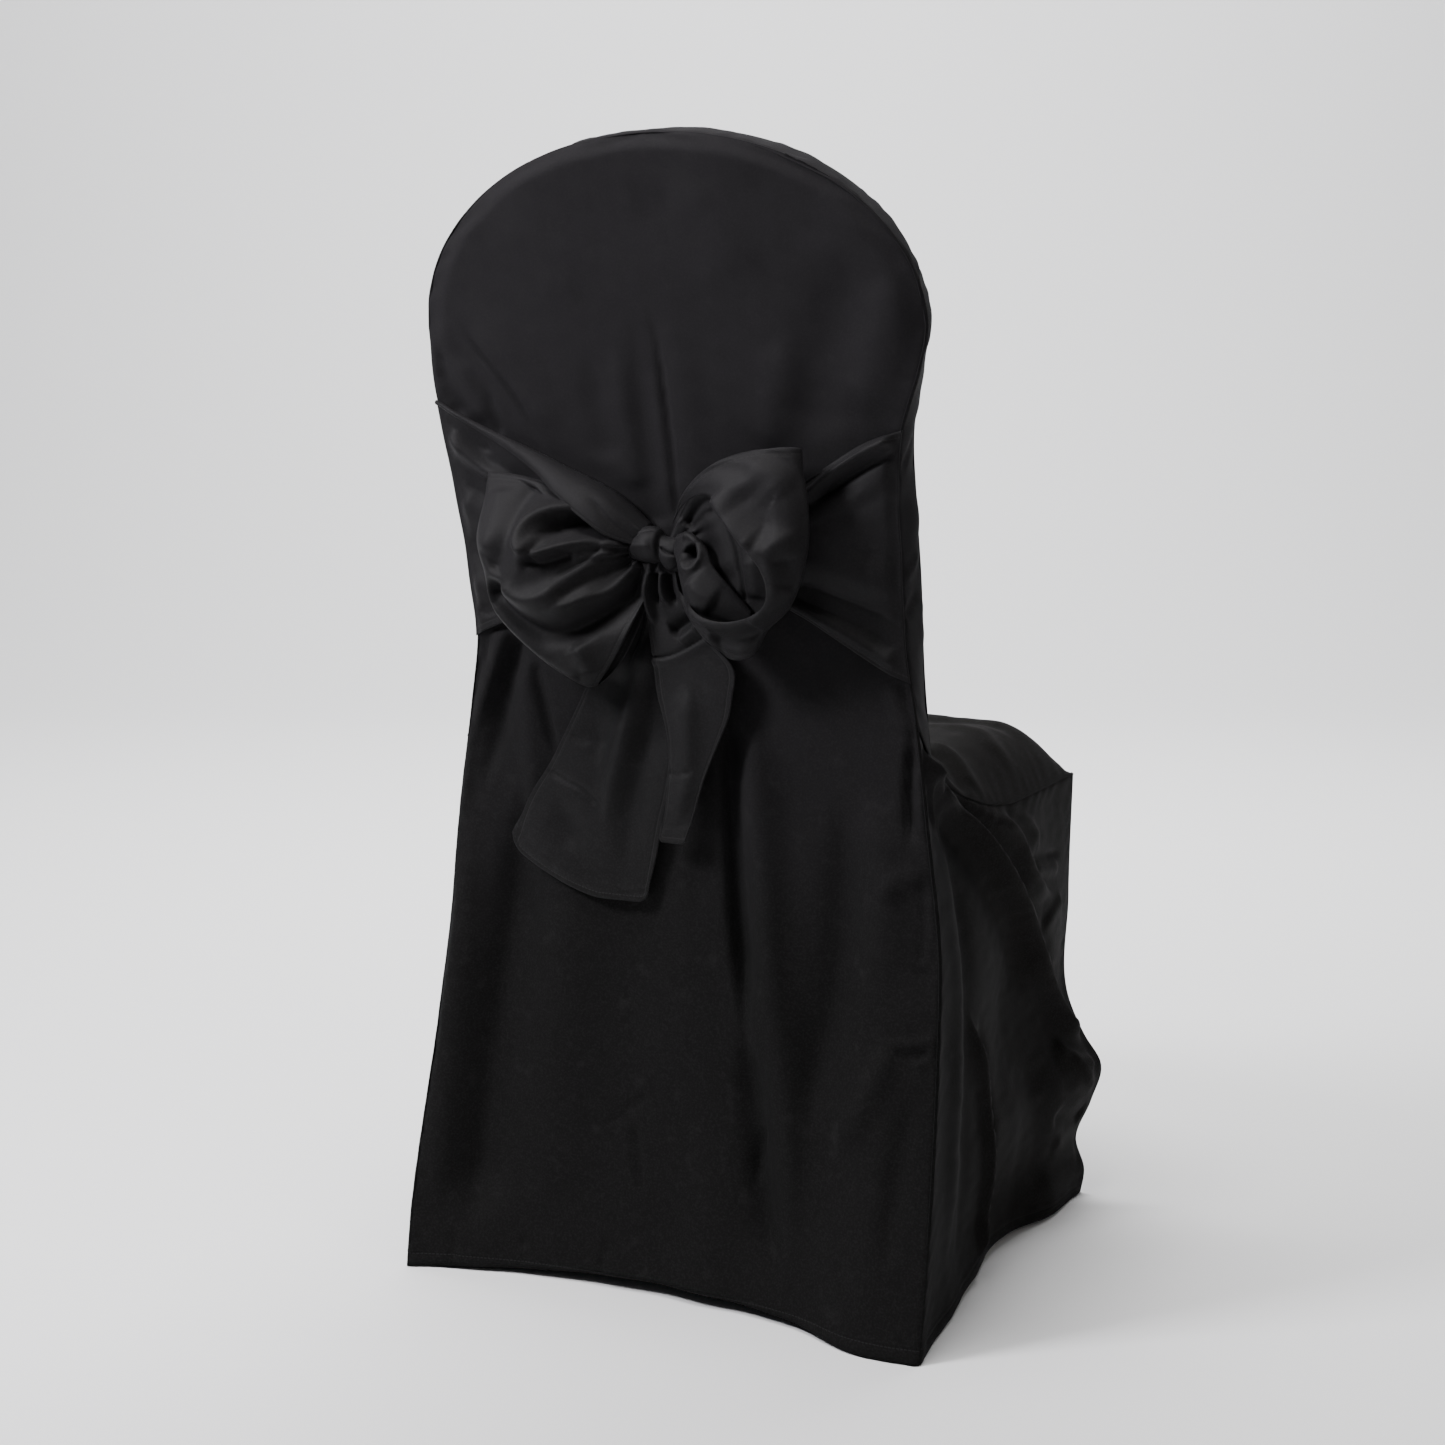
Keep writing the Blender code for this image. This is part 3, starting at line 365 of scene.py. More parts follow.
# The turned strip's own creases, in metres, by the share of its length and its width
STRIP_CREASES = [
    (0.06, 0.0026, 0, 0.3, 0.2, (0.4, 0.35), (0.7, 0.45), (0.98, 0.4)),
    (0.035, -0.003, 0, 0.3, 0.05, (0.74, 0.1), (0.88, 0.22), (1, 0.3)),
    (0.04, 0.002, 0, 0.3, 0.05, (0.7, 0), (0.88, 0.08), (1, 0.12)),
    (0.035, -0.0026, 0, 0.3, 0.05, (0.8, 0.66), (0.92, 0.64), (1, 0.62))]
TIE_CREASES_RIGHT = folds([
    (4.2, 9, -0.25, 0.06, 0.05, (-190, 708), (-172, 701.5), (-149, 689), (-132, 677.5),
     (-110, 661), (-60, 635)),
    (3, -5, 0, 0.06, 0.2, (-188, 698.5), (-163, 685), (-140, 671.5), (-120, 658.5)),
    (9, 4, 0.25, 0.15, 0.05, (-188, 686), (-162, 668), (-142, 656), (-110, 642), (-60, 627)),
    (16, 4.2, 0, 0.3, 0.2, (-186, 660), (-156, 642), (-130, 632), (-80, 620)),
    (8, -1.2, 0, 0.2, 0.05, (-160, 626), (-120, 622), (-80, 618), (-40, 616)),
    (18, 8, 0.1, 0.25, 0.1, (-188, 590), (-160, 602), (-126, 611), (-90, 612)),
    (7.5, -8.5, 0.2, 0.05, 0.15, (-188, 550), (-173, 562), (-148, 573), (-124, 581), (-92, 590)),
    (5, 5, 0, 0.1, 0.1, (-188, 534), (-167, 545), (-145, 557), (-117, 570), (-80, 586)),
    (3.5, -4, 0, 0.3, 0.02, (-80, 646), (-50, 632), (-20, 622)),
    (3.5, -4, 0, 0.3, 0.02, (-80, 600), (-50, 606), (-20, 612))])

# Bow loops: fans of cloth from the knot and back. Each row is one line across the fan: its
# angle at the knot and at the tip, its reach, where its front ends, its depth and its seat
LOOP_NAMES = "across root_angle tip_angle reach rim depth base"
LOOP_ROOT = 0.01
LOOP_LEFT = table(LOOP_NAMES, [
    (0.0, 44, 22.4, 0.153, 0.026, 0.01, -0.0035),
    (0.1, 34, 15, 0.145, 0.016, 0.026, -0.002),
    (0.22, 20, 3, 0.14, 0.011, 0.044, 0.0),
    (0.36, 4, -9, 0.1315, 0.011, 0.052, 0.0),
    (0.5, -14, -19, 0.1335, 0.011, 0.052, 0.0),
    (0.68, -38, -41, 0.121, 0.011, 0.048, 0.0),
    (0.85, -62, -58, 0.1185, 0.011, 0.036, 0.0),
    (0.95, -84, -68, 0.118, 0.013, 0.027, 0.0),
    (1.0, -98, -71, 0.113, 0.015, 0.024, 0.0)])
LOOP_RIGHT = table(LOOP_NAMES, [
    (0.0, 76, 34.5, 0.1489, 0.024, 0.036, 0.0),
    (0.05, 68, 31, 0.1455, 0.05, 0.041, 0.0),
    (0.1, 58, 28, 0.143, 0.069, 0.046, 0.0),
    (0.2, 42, 20, 0.1405, 0.0745, 0.052, 0.0),
    (0.42, 14, 5, 0.1345, 0.091, 0.058, 0.0),
    (0.55, -4, -7, 0.129, 0.108, 0.058, 0.0),
    (0.66, -16, -18, 0.1225, 0.11, 0.054, 0.0),
    (0.76, -29, -29, 0.1125, 0.094, 0.05, 0.0),
    (0.86, -42, -41, 0.113, 0.068, 0.042, 0.0),
    (0.94, -52, -47, 0.108, 0.045, 0.034, 0.0),
    (1.0, -62, -50, 0.1045, 0.034, 0.03, 0.0)])
BOW_LEFT = (0.0204, 0.616)
BOW_RIGHT = (0.0022, 0.616)
BOW_SEAT = 0.018
LOOP_CREASES_LEFT = folds([
    (7.5, 14.5, -0.15, 0.12, 0.1, (62, 650), (73, 651), (87, 650.5), (100, 646.2), (108.5, 638.5),
     (110.5, 628.5), (106, 620), (94.8, 615)),
    (5, 9.5, 0.25, 0.08, 0.15, (100, 613.8), (93, 615), (83, 618.6), (71.3, 622.6), (56, 624.9),
     (41.5, 623.3), (29, 621)),
    (6, -12, 0, 0.2, 0.1, (98, 627), (88, 632), (74, 635.5), (58, 635), (42, 629)),
    (5, -7, 0, 0.15, 0.15, (109, 609), (96, 607), (83, 610), (69, 616)),
    (2, -2.4, 0, 0.15, 0.2, (50.5, 621.5), (56, 614), (64, 607), (82, 596)),
    (9.5, 8.5, 0.1, 0.12, 0.12, (133, 593), (124, 583), (113, 577.5), (101, 577), (86.9, 581.9),
     (74.7, 591.5), (62.5, 601.5), (49, 611), (32.7, 615)),
    (7, -5.2, 0, 0.15, 0.1, (80, 579), (70, 586), (56.6, 596.5), (41.7, 605), (30, 610.7)),
    (7.5, 8.8, 0.2, 0.4, 0.05, (90, 565), (72, 573), (58.3, 579), (48, 581.2), (38.9, 586.8),
     (32.5, 596.3), (26.2, 608.3)),
    (10, -17.5, 0, 0.08, 0.05, (143, 595), (136, 579), (126, 568), (112, 558), (93.3, 551),
     (75.1, 552.4), (61, 559), (41.9, 571.6), (25, 588), (15, 605)),
    (10, -7, 0, 0.05, 0.1, (114, 665), (121, 648), (124.3, 628.1), (131, 609.2), (140, 597)),
    (9, 3, 0, 0.1, 0.2, (145, 664), (143, 644), (144, 625), (147, 609)),
    (7, 4, 0, 0.06, 0.06, (145, 570), (123, 552), (106, 538), (86, 524), (68, 513)),
    (9, 4.5, 0, 0.3, 0.15, (69, 545), (62, 533), (57, 518))])
LOOP_CREASES_RIGHT = folds([
    (8, 6.8, 0, 0.1, 0.15, (-56, 664), (-64, 656), (-72, 647), (-85, 636), (-98, 627)),
    (8.5, 5, 0, 0.3, 0.3, (-86, 632), (-103.7, 623.5), (-115.2, 630.4), (-130, 641)),
    (15, -5, 0, 0.3, 0.3, (-76, 672), (-88, 658), (-100, 644), (-116, 642)),
    (13, 3.6, 0, 0.3, 0.3, (-80, 692), (-104, 680), (-120, 664)),
    (7, 4.5, 0, 0.2, 0.25, (-106, 622), (-111, 608), (-112, 595), (-105, 580), (-90, 570)),
    (8, -4.5, 0, 0.2, 0.2, (-118, 623), (-121, 608), (-119, 593)),
    (6.5, 6, 0, 0.15, 0.2, (-25, 581), (-38, 572), (-55, 566.5), (-75.3, 566.5), (-92.1, 570.5),
     (-104, 580)),
    (9, -6, 0, 0.15, 0.1, (-50, 552), (-61.7, 554.5), (-78, 558), (-96, 566))])
INNER_CREASES_RIGHT = folds([
    (1.8, -3, 0, 0.06, 0.06, (-56, 650), (-62, 636), (-68.4, 620.4), (-73.6, 597.4), (-75.3, 580)),
    (5, -7, 0, 0.05, 0.1, (-15, 637), (-21, 646), (-31, 655), (-44, 658)),
    (12, 4, 0, 0.25, 0.25, (-30, 650), (-44, 638), (-56, 618), (-64, 598)),
    (8, 3, 0, 0.25, 0.15, (-80, 620), (-84, 600), (-82, 584))])
# The right loop's cloth between the knot and its opening: a tongue, its low edge, which tucks
# behind the loop's front, and its high edge, which is free
TONGUE = table("along low_x low_z high_x high_z front", [
    (0.0, -0.008, 0.612, -0.01, 0.63, 0.008),
    (0.2, -0.015, 0.596, -0.0255, 0.6335, 0.015),
    (0.4, -0.0215, 0.58, -0.0413, 0.6229, 0.021),
    (0.6, -0.032, 0.57, -0.049, 0.6095, 0.025),
    (0.8, -0.05, 0.564, -0.063, 0.595, 0.026),
    (1.0, -0.08, 0.56, -0.083, 0.574, 0.024)])
TONGUE_CREASES = folds([
    (2.6, 4.2, 0, 0.1, 0.1, (-19, 626), (-22.4, 631.8), (-31, 629), (-37.5, 621.3), (-38.4, 613.6),
     (-35, 607.8), (-29.2, 606), (-24.1, 609), (-21.5, 616)),
    (4, -13, 0, 0.2, 0.2, (-26.2, 623.5), (-29.5, 618), (-30.8, 611)),
    (9, 4, 0, 0.2, 0.2, (-30, 600), (-40, 590), (-56, 580))])

# Free tails, from the knot down
TAIL_LEFT = table("height right left stand", [
    (0.612, 0.01, 0.03, 0.0085),
    (0.598, 0.011, 0.032, 0.009),
    (0.56, 0.006, 0.054, 0.01),
    (0.5, 0.0, 0.08, 0.0105),
    (0.43, 0.003, 0.11, 0.011),
    (0.385, 0.012, 0.133, 0.0105),
    (0.33, 0.022, 0.15, 0.009)])
TAIL_RIGHT = table("height right left stand", [
    (0.612, -0.004, 0.02, 0.015),
    (0.6013, -0.005, 0.021, 0.017),
    (0.5835, -0.0095, 0.0245, 0.0195),
    (0.565, -0.02, 0.02, 0.0205),
    (0.545, -0.037, 0.017, 0.021),
    (0.529, -0.0545, 0.0148, 0.021),
    (0.5026, -0.0548, 0.0115, 0.02),
    (0.4865, -0.051, 0.007, 0.019),
    (0.47, -0.044, 0.003, 0.0185),
    (0.4375, -0.031, 0.001, 0.018),
    (0.412, -0.023, 0.003, 0.0175),
    (0.383, -0.015, 0.009, 0.017)])
TAIL_LEFT_SLANT = 0.036
TAIL_LEFT_CORNER = 0.011
TAIL_RIGHT_CORNER = 0.004
TAIL_FLOAT = 0.0016
TAIL_CREASES_LEFT = folds([
    (11, 9, -0.1, 0.15, 0.25, (23, 550), (26.1, 529.9), (33.9, 497.4), (44.5, 462.1),
     (52.4, 433.7), (59.2, 405.1), (64, 385)),
    (15, -4.5, 0, 0.25, 0.3, (56, 530), (62, 500), (68, 470), (71, 435)),
    (13, -5.5, 0, 0.2, 0.25, (12, 540), (20, 490), (30, 440), (40, 390), (46, 350)),
    (3.2, -1.9, 0, 0.1, 0.2, (116, 432), (97.1, 424.2), (83.9, 419.4), (73.5, 410.9),
     (63.1, 404.8)),
    (13, -3.4, 0, 0.4, 0.4, (108, 408), (98, 390), (88, 376), (76.5, 370)),
    (14, 2.2, 0, 0.3, 0.3, (125.3, 406.5), (127, 382), (112, 362), (90, 352), (71.4, 356)),
    (4, -1.6, 0, 0.4, 0.4, (99, 465), (87.5, 460.1), (75, 455)),
    (3, -4, 0, 0.02, 0.35, (20, 597), (30, 560), (42, 520))])
TAIL_CREASES_RIGHT = folds([
    (1.3, -3, 0, 0.02, 0.02, (20, 532.2), (10, 532.2), (1.2, 533.5), (-13, 539.5), (-33, 552)),
    (3, 2.6, 0, 0.02, 0.02, (20, 528.5), (10, 528.7), (0, 530.2), (-14, 536.5), (-34, 548)),
    (6, -7.5, 0, 0.2, 0.2, (0, 551), (-10, 558), (-20, 565)),
    (4, 4.5, 0, 0.2, 0.2, (-8, 545), (-18, 553), (-26, 560)),
    (3, 6, 0, 0.03, 0.3, (15.5, 599), (19, 583.8), (17, 569.6), (12, 556)),
    (2.6, -6, 0, 0.03, 0.3, (10.5, 599), (12, 584), (10, 571.5)),
    (3, 6, 0, 0.03, 0.3, (6, 599), (5, 584.5), (0, 573)),
    (2.6, -5, 0, 0.03, 0.3, (2, 599), (0, 585), (-6, 574)),
    (11, 5, 0.1, 0.25, 0.25, (-14, 520), (-16, 480), (-14, 430), (-4, 395)),
    (3.4, -2.2, 0, 0.3, 0.25, (7.4, 437.3), (-6.5, 440.2), (-24.2, 443.2))])

# The photo's camera, and the paper sweep that it looks at
VIEW_PLACE = (-0.879, 1.893, 0.793)
VIEW_YAW = math.radians(25.87)
VIEW_PITCH = math.radians(9.21)
VIEW_LENGTH = 2463 / 1445
SENSOR_WIDTH = 36
SWEEP_WIDTH = 16.0
SWEEP_LENGTH = 15.0
SWEEP_NEAR = 6.0
SWEEP_FLAT = 3.0
SWEEP_RADIUS = 1.5

# The knot, from its right end to its left: the lobe behind the waist, then the wrapped one
KNOT_DEPTH = 0.1745
KNOT = table("along across middle half_height half_depth", [
    (0.0, -0.0125, 0.615, 0.0005, 0.0005),
    (0.05, -0.0118, 0.6148, 0.008, 0.006),
    (0.14, -0.0085, 0.6145, 0.0124, 0.0098),
    (0.24, -0.004, 0.614, 0.0136, 0.0112),
    (0.34, 0.001, 0.6145, 0.0132, 0.011),
    (0.42, 0.0046, 0.6165, 0.0118, 0.0098),
    (0.46, 0.0064, 0.6185, 0.0106, 0.0082),
    (0.5, 0.0082, 0.62, 0.0124, 0.0112),
    (0.58, 0.012, 0.6204, 0.0142, 0.013),
    (0.7, 0.019, 0.6208, 0.0145, 0.013),
    (0.8, 0.025, 0.6203, 0.0132, 0.0112),
    (0.89, 0.0305, 0.6188, 0.0102, 0.0086),
    (0.96, 0.0345, 0.6172, 0.0058, 0.005),
    (1.0, 0.036, 0.6165, 0.0005, 0.0005)])
# The knot's creases, in metres, by the share of its length and the turn around it, 0 in front
KNOT_CREASES = [
    (0.04, -0.0009, 0, 0.2, 0.1, (0.52, 0.6), (0.7, 0.45), (0.96, 0.3)),
    (0.034, -0.0008, 0, 0.2, 0.1, (0.62, -0.75), (0.8, -0.45), (0.97, -0.2)),
    (0.03, -0.0012, 0, 0.3, 0.05, (0.8, 0.9), (0.89, 0.7), (0.97, 0.5)),
    (0.08, 0.001, 0, 0.2, 0.2, (0.56, 0.05), (0.72, 0), (0.92, 0.05)),
    (0.04, -0.003, 0, 0.1, 0.1, (0.42, 0.2), (0.26, 0.08), (0.08, 0)),
    (0.05, -0.0012, 0, 0.15, 0.1, (0.4, -0.75), (0.24, -0.6), (0.08, -0.4))]


# Curves and creases

def hermite(at, values, x):
    """Value at x on a soft curve through the points (at, values)."""
    slopes = np.gradient(values, at)
    x = np.clip(x, at[0], at[-1])
    i = np.clip(np.searchsorted(at, x, side="right") - 1, 0, len(at) - 2)
    step = at[i + 1] - at[i]
    t = (x - at[i]) / step
    start = (1 + 2 * t) * (1 - t) ** 2 * values[i] + t * (1 - t) ** 2 * step * slopes[i]
    end = t * t * (3 - 2 * t) * values[i + 1] + t * t * (t - 1) * step * slopes[i + 1]
    return start + end


def curve(rows, given, wanted, x):
    """Value of one column at x of another, on a soft curve through a table's rows."""
    at, values = rows[given], rows[wanted]
    if at[0] > at[-1]:
        at, values = at[::-1], values[::-1]
    return hermite(at, values, np.asarray(x, float))


def ease(t):
    """0 below 0, 1 above 1, and a soft step between them."""
    t = np.clip(t, 0.0, 1.0)
    return t * t * (3 - 2 * t)


def rounded(t):
    """0 at 0 and 1 from 1 on, rising like the edge of a cushion."""
    return 1 - (1 - np.clip(t, 0.0, 1.0)) ** 2.4


def lerp(a, b, t):
    return a + (b - a) * t


def path_points(places, steps=6):
    """A soft line through a crease's places."""
    places = np.array(places, float)
    at = np.arange(len(places), dtype=float)
    fine = np.linspace(0, at[-1], (len(places) - 1) * steps + 1)
    if len(places) == 2:
        return lerp(places[0], places[1], fine[:, None])
    return np.stack([hermite(at, places[:, k], fine) for k in (0, 1)], axis=1)


def creases(rows, a, b, crisp=False):
    """Height of a piece's creases at its points (a, b). Crisp ones have a sharper crest."""
    total = np.zeros(len(a))
    for width, height, lean, fade_in, fade_out, *places in rows:
        path = path_points(places)
        wide = width * (1 + abs(lean)) * 3.5
        low, high = path.min(0) - wide, path.max(0) + wide
        near = np.nonzero((a > low[0]) & (a < high[0]) & (b > low[1]) & (b < high[1]))[0]
        if not len(near):
            continue
        pa, pb = a[near], b[near]
        best = np.full(len(near), 1e9)
        signed = np.zeros(len(near))
        along = np.zeros(len(near))
        runs = np.hypot(*np.diff(path, axis=0).T)
        starts = np.concatenate([[0], np.cumsum(runs)])
        for k, run in enumerate(runs):
            da, db = (path[k + 1] - path[k]) / run
            ra, rb = pa - path[k][0], pb - path[k][1]
            t = np.clip(ra * da + rb * db, 0, run)
            away = np.hypot(ra - t * da, rb - t * db)
            closer = away < best
            best[closer] = away[closer]
            signed[closer] = np.clip((da * rb - db * ra)[closer] / (width * 0.6), -1, 1)
            along[closer] = (starts[k] + t[closer]) / starts[-1]
        ends = ease(along / max(fade_in, 0.02)) * ease((1 - along) / max(fade_out, 0.02))
        off = best / (width * (1 + lean * signed) * (0.45 + 0.55 * ends))
        shape = np.exp(-1.6 * (np.sqrt(off ** 2 + 0.45) - 0.67)) if crisp else np.exp(-off ** 2)
        total[near] += height * shape * ends
    return total


def ripple(a, b, size, seed, waves=7):
    """Soft uneven waves about one size long, from -1 to 1 or so."""
    draw = np.random.default_rng(seed)
    total = np.zeros(len(a))
    for _ in range(waves):
        turn, phase, scale = draw.uniform(0, math.tau, 3)
        k = math.tau / (size * (0.75 + scale / math.tau * 0.7))
        total += np.sin(k * (a * math.cos(turn) + b * math.sin(turn)) + phase)
    return total / math.sqrt(waves)


def spread(length, cell, fine=(), start=True, end=True):
    """Shares of a grid's lines, with narrow cells beside a seam or hem."""
    ends = np.array(fine) / length
    inner_low = ends[-1] if start and len(fine) else 0.0
    inner_high = 1 - ends[-1] if end and len(fine) else 1.0
    count = max(int(round((inner_high - inner_low) * length / cell)), 1)
    middle = np.linspace(inner_low, inner_high, count + 1)
    parts = [middle]
    if start and len(fine):
        parts.insert(0, np.concatenate([[0.0], ends[:-1]]))
    if end and len(fine):
        parts.append(np.concatenate([1 - ends[:-1][::-1], [1.0]]))
    return np.concatenate(parts)


# Outline of the back

def half_width(side, z):
    """Signed distance of the rear seam from the middle: side is 1 on the left, -1 on the right."""
    low = np.minimum(z, ARCH_START)
    column = "left" if side > 0 else "right"
    base = curve(REAR_SEAM, "height", column, low)
    climb = np.clip((z - ARCH_START) / ARCH_RISE, 0, 1)
    return side * base * np.sqrt(1 - climb * climb) + ARCH_LEAN * climb


def seam_depth(z):
    return curve(REAR_SEAM, "height", "depth", z)


def arch_height(x):
    """Height of the arch over the point x of its top stretch."""
    base = abs(float(half_width(1, ARCH_START)))
    centre = x - ARCH_LEAN * 0.95
    return ARCH_START + ARCH_RISE * np.sqrt(np.maximum(1 - (centre / base) ** 2, 0))


def edge_distance(x, z):
    """Roughly how far a point of the rear panel is from its seam."""
    side = np.where(x < 0, np.abs(half_width(-1, z)), np.abs(half_width(1, z)))
    climb = (z - ARCH_START) / ARCH_RISE
    reach = float(half_width(1, ARCH_START))
    over = reach * (1 - np.hypot((x - ARCH_LEAN * climb) / reach, climb))
    return np.where(z <= ARCH_START, side - np.abs(x), over)


def rolled(z):
    """How far the seam lies forward of the padded back where the rear panel rolls over it."""
    return ROLL * ease((z - ROLL_START) / ROLL_BLEND)


def back_depth(x, z):
    """Place in Y of the rear panel's plain form, without its creases."""
    edge = np.maximum(edge_distance(x, z), 0)
    width = np.where(x < 0, np.abs(half_width(-1, z)), np.abs(half_width(1, z)))
    along = np.clip(x / np.maximum(width, 0.01), -1, 1)
    along = np.where(z < HEM_REACH, along, 1)
    hem = curve(REAR_HEM, "along", "inset", along) * ease(1 - z / HEM_REACH)
    roll = rolled(z) * (1 - ease(edge / ROLL_REACH))
    return seam_depth(z) - hem - roll


def panel_place(u, z):
    """Place across and up of the rear panel's point: share u from the right, at a row's height."""
    x = lerp(half_width(-1, z), half_width(1, z), u)
    top = (z - ARCH_BLEND_START) / (ARCH_TOP - ARCH_BLEND_START)
    across = lerp(half_width(-1, ARCH_TOP), half_width(1, ARCH_TOP), u)
    inside = (u > 0) & (u < 1) & (top > 0)
    z = z + np.where(inside, (arch_height(across) - ARCH_TOP) * ease(top) ** 2, 0)
    lift = np.maximum(curve(REAR_HEM, "along", "lift", 2 * u - 1), 0)
    return x, z + lift * np.clip(1 - z / HEM_LIFT_REACH, 0, 1)


def seam_line(edge, run):
    """The cloth beside a seam: it dips into the seam and puckers along it."""
    dip = -SEAM_DIP * np.exp(-(edge / SEAM_WIDTH) ** 2)
    uneven = np.sin(math.tau * run / PUCKER_LENGTH + 1.7 * np.sin(run * 61.0))
    return dip + PUCKER * uneven * np.exp(-(edge / PUCKER_REACH) ** 2) * ease(edge / 0.003)


def hem_line(up):
    """The turned and stitched hem, by the distance from the cloth's lower edge."""
    step = HEM_STEP * (1 - ease((up - HEM_WIDTH) / 0.0016))
    return step - 0.0004 * np.exp(-((up - HEM_WIDTH + 0.002) / 0.0012) ** 2)


def rear_surface(u, z):
    x, z = panel_place(u, z)
    edge = np.maximum(edge_distance(x, z), 0)
    relief = creases(BACK_CREASES, x, z) + creases(LEFT_TUCK, x, z)
    relief *= ease(edge / 0.009 + 0.05)
    low = ease((0.5 - z) / 0.1)
    relief += 0.0007 * ripple(x, z, 0.13, 3) + 0.0009 * low * ripple(x, z * 0.35, 0.06, 4)
    relief += 0.00016 * ripple(x, z, 0.022, 5)
    y = back_depth(x, z) + relief + seam_line(edge, z + np.abs(x) * 0.4) + hem_line(z)
    return np.stack([x, y, z], axis=1)


# Pieces of cloth

def mesh_points(mesh):
    points = np.empty(len(mesh.vertices) * 3, np.float32)
    mesh.vertices.foreach_get("co", points)
    return points.reshape(-1, 3)


def hem_distance(mesh, distance):
    """Keep each point's distance from its stitched hem on the mesh."""
    edge = mesh.attributes.new("hem", "FLOAT", "POINT")
    edge.data.foreach_set("value", distance.astype(np.float32))


def in_scene(mesh):
    """A piece of the cover from its finished mesh."""
    mesh.update()
    piece = bpy.data.objects.new(mesh.name, mesh)
    bpy.context.scene.collection.objects.link(piece)
    return piece


def cloth(name, us, vs, surface, thickness, flip, weave, hem, offset=-1.0):
    """One piece of cloth: a flat grid bent to its surface. It keeps its weave's own coordinates
    and each point's distance from its stitched hem."""
    columns, rows = len(us) - 1, len(vs) - 1
    bm = bmesh.new()
    bmesh.ops.create_grid(bm, x_segments=columns, y_segments=rows, size=0.5)
    if flip:
        bmesh.ops.reverse_faces(bm, faces=bm.faces[:])
    mesh = bpy.data.meshes.new(name)
    bm.to_mesh(mesh)
    bm.free()
    flat = mesh_points(mesh)
    u = us[np.rint((flat[:, 0] + 0.5) * columns).astype(int)]
    v = vs[np.rint((flat[:, 1] + 0.5) * rows).astype(int)]
    points = surface(u, v) + TO_MIDDLE
    mesh.vertices.foreach_set("co", points.astype(np.float32).ravel())
    corners = np.empty(len(mesh.loops), np.int32)
    mesh.loops.foreach_get("vertex_index", corners)
    across, along = weave(u, v, points)
    layer = mesh.uv_layers.new(name="weave")
    layer.data.foreach_set("uv", np.stack([across, along], 1)[corners].astype(np.float32).ravel())
    hem_distance(mesh, hem(u, v, points))
    mesh.shade_smooth()
    piece = in_scene(mesh)
    wall = piece.modifiers.new("thickness", "SOLIDIFY")
    wall.thickness = thickness
    wall.offset = offset
    return piece


def no_hem(u, v, points):
    return np.full(len(u), 1.0)


def upright_weave(u, v, points):
    return points[:, 0], points[:, 2]


def hem_rows(top, cell):
    """Heights of a skirt's rows, with fine ones at the hem and at the seam above."""
    first = np.concatenate([[0.0], HEM_LINES])
    count = int(round((top - HEM_LINES[-1]) / cell))
    return np.concatenate([first[:-1], np.linspace(HEM_LINES[-1], top, count + 1)])


def back_rows(start, cell, arch_cells):
    """Heights of a back panel's rows from a start to the arch's corner."""
    count = int(round((ARCH_START - start) / cell))
    straight = np.linspace(start, ARCH_START, count + 1)[:-1]
    turns = ARCH_CORNER * np.linspace(0, 1, arch_cells + 1)
    return np.concatenate([straight, ARCH_START + ARCH_RISE * np.sin(turns)])


def fine_end(rows, shares):
    """Rows with the last one split at the given shares, for the seam beside it."""
    return np.concatenate([rows[:-2], lerp(rows[-2], rows[-1], np.array(shares))])


def make_rear_panel():
    us = spread(PANEL_WIDTH, PANEL_CELL, SEAM_LINES)
    low = hem_rows(SEAT_LINE, PANEL_CELL)
    high = back_rows(SEAT_LINE, PANEL_CELL, 48)
    vs = np.concatenate([low[:-1], fine_end(high, (0, 0.4, 0.7, 1.0))])
    return cloth("rear_panel_satin", us, vs, rear_surface, CLOTH, True, upright_weave,
                 lambda u, v, p: p[:, 2])


# Boxing band and front panel

def front_seam_point(x, y, z):
    """Point of the front panel's edge that faces a point of the rear outline."""
    rise = curve(FRONT_SEAM, "height", "rise", z)
    inset = curve(FRONT_SEAM, "height", "inset", z)
    reach = float(half_width(1, ARCH_START))
    return x * (1 - inset / reach), y - BACK_DEPTH, z + rise


def outline_at(share):
    """Rear seam points along the outline: right seat line, over the arch, left seat line."""
    straight = ARCH_START - SEAT_LINE
    reach = float(half_width(1, ARCH_START))
    arc = math.pi * (3 * (reach + ARCH_RISE)
                     - math.sqrt((3 * reach + ARCH_RISE) * (reach + 3 * ARCH_RISE))) / 2
    total = 2 * straight + arc
    run = share * total
    turn = np.clip((run - straight) / arc, 0, 1) * math.pi
    z = np.where(run < straight, SEAT_LINE + run,
                 np.where(run > total - straight, SEAT_LINE + total - run,
                          ARCH_START + ARCH_RISE * np.sin(turn)))
    side = np.where(share < 0.5, -1, 1)
    climb = np.clip((z - ARCH_START) / ARCH_RISE, 0, 1)
    x_side = np.where(side < 0, half_width(-1, z), half_width(1, z))
    x_arc = -reach * np.cos(turn) + ARCH_LEAN * climb
    in_arc = (run > straight) & (run < total - straight)
    x = np.where(in_arc, x_arc, x_side)
    y = seam_depth(z) - rolled(z)
    return x, y, z, turn, in_arc


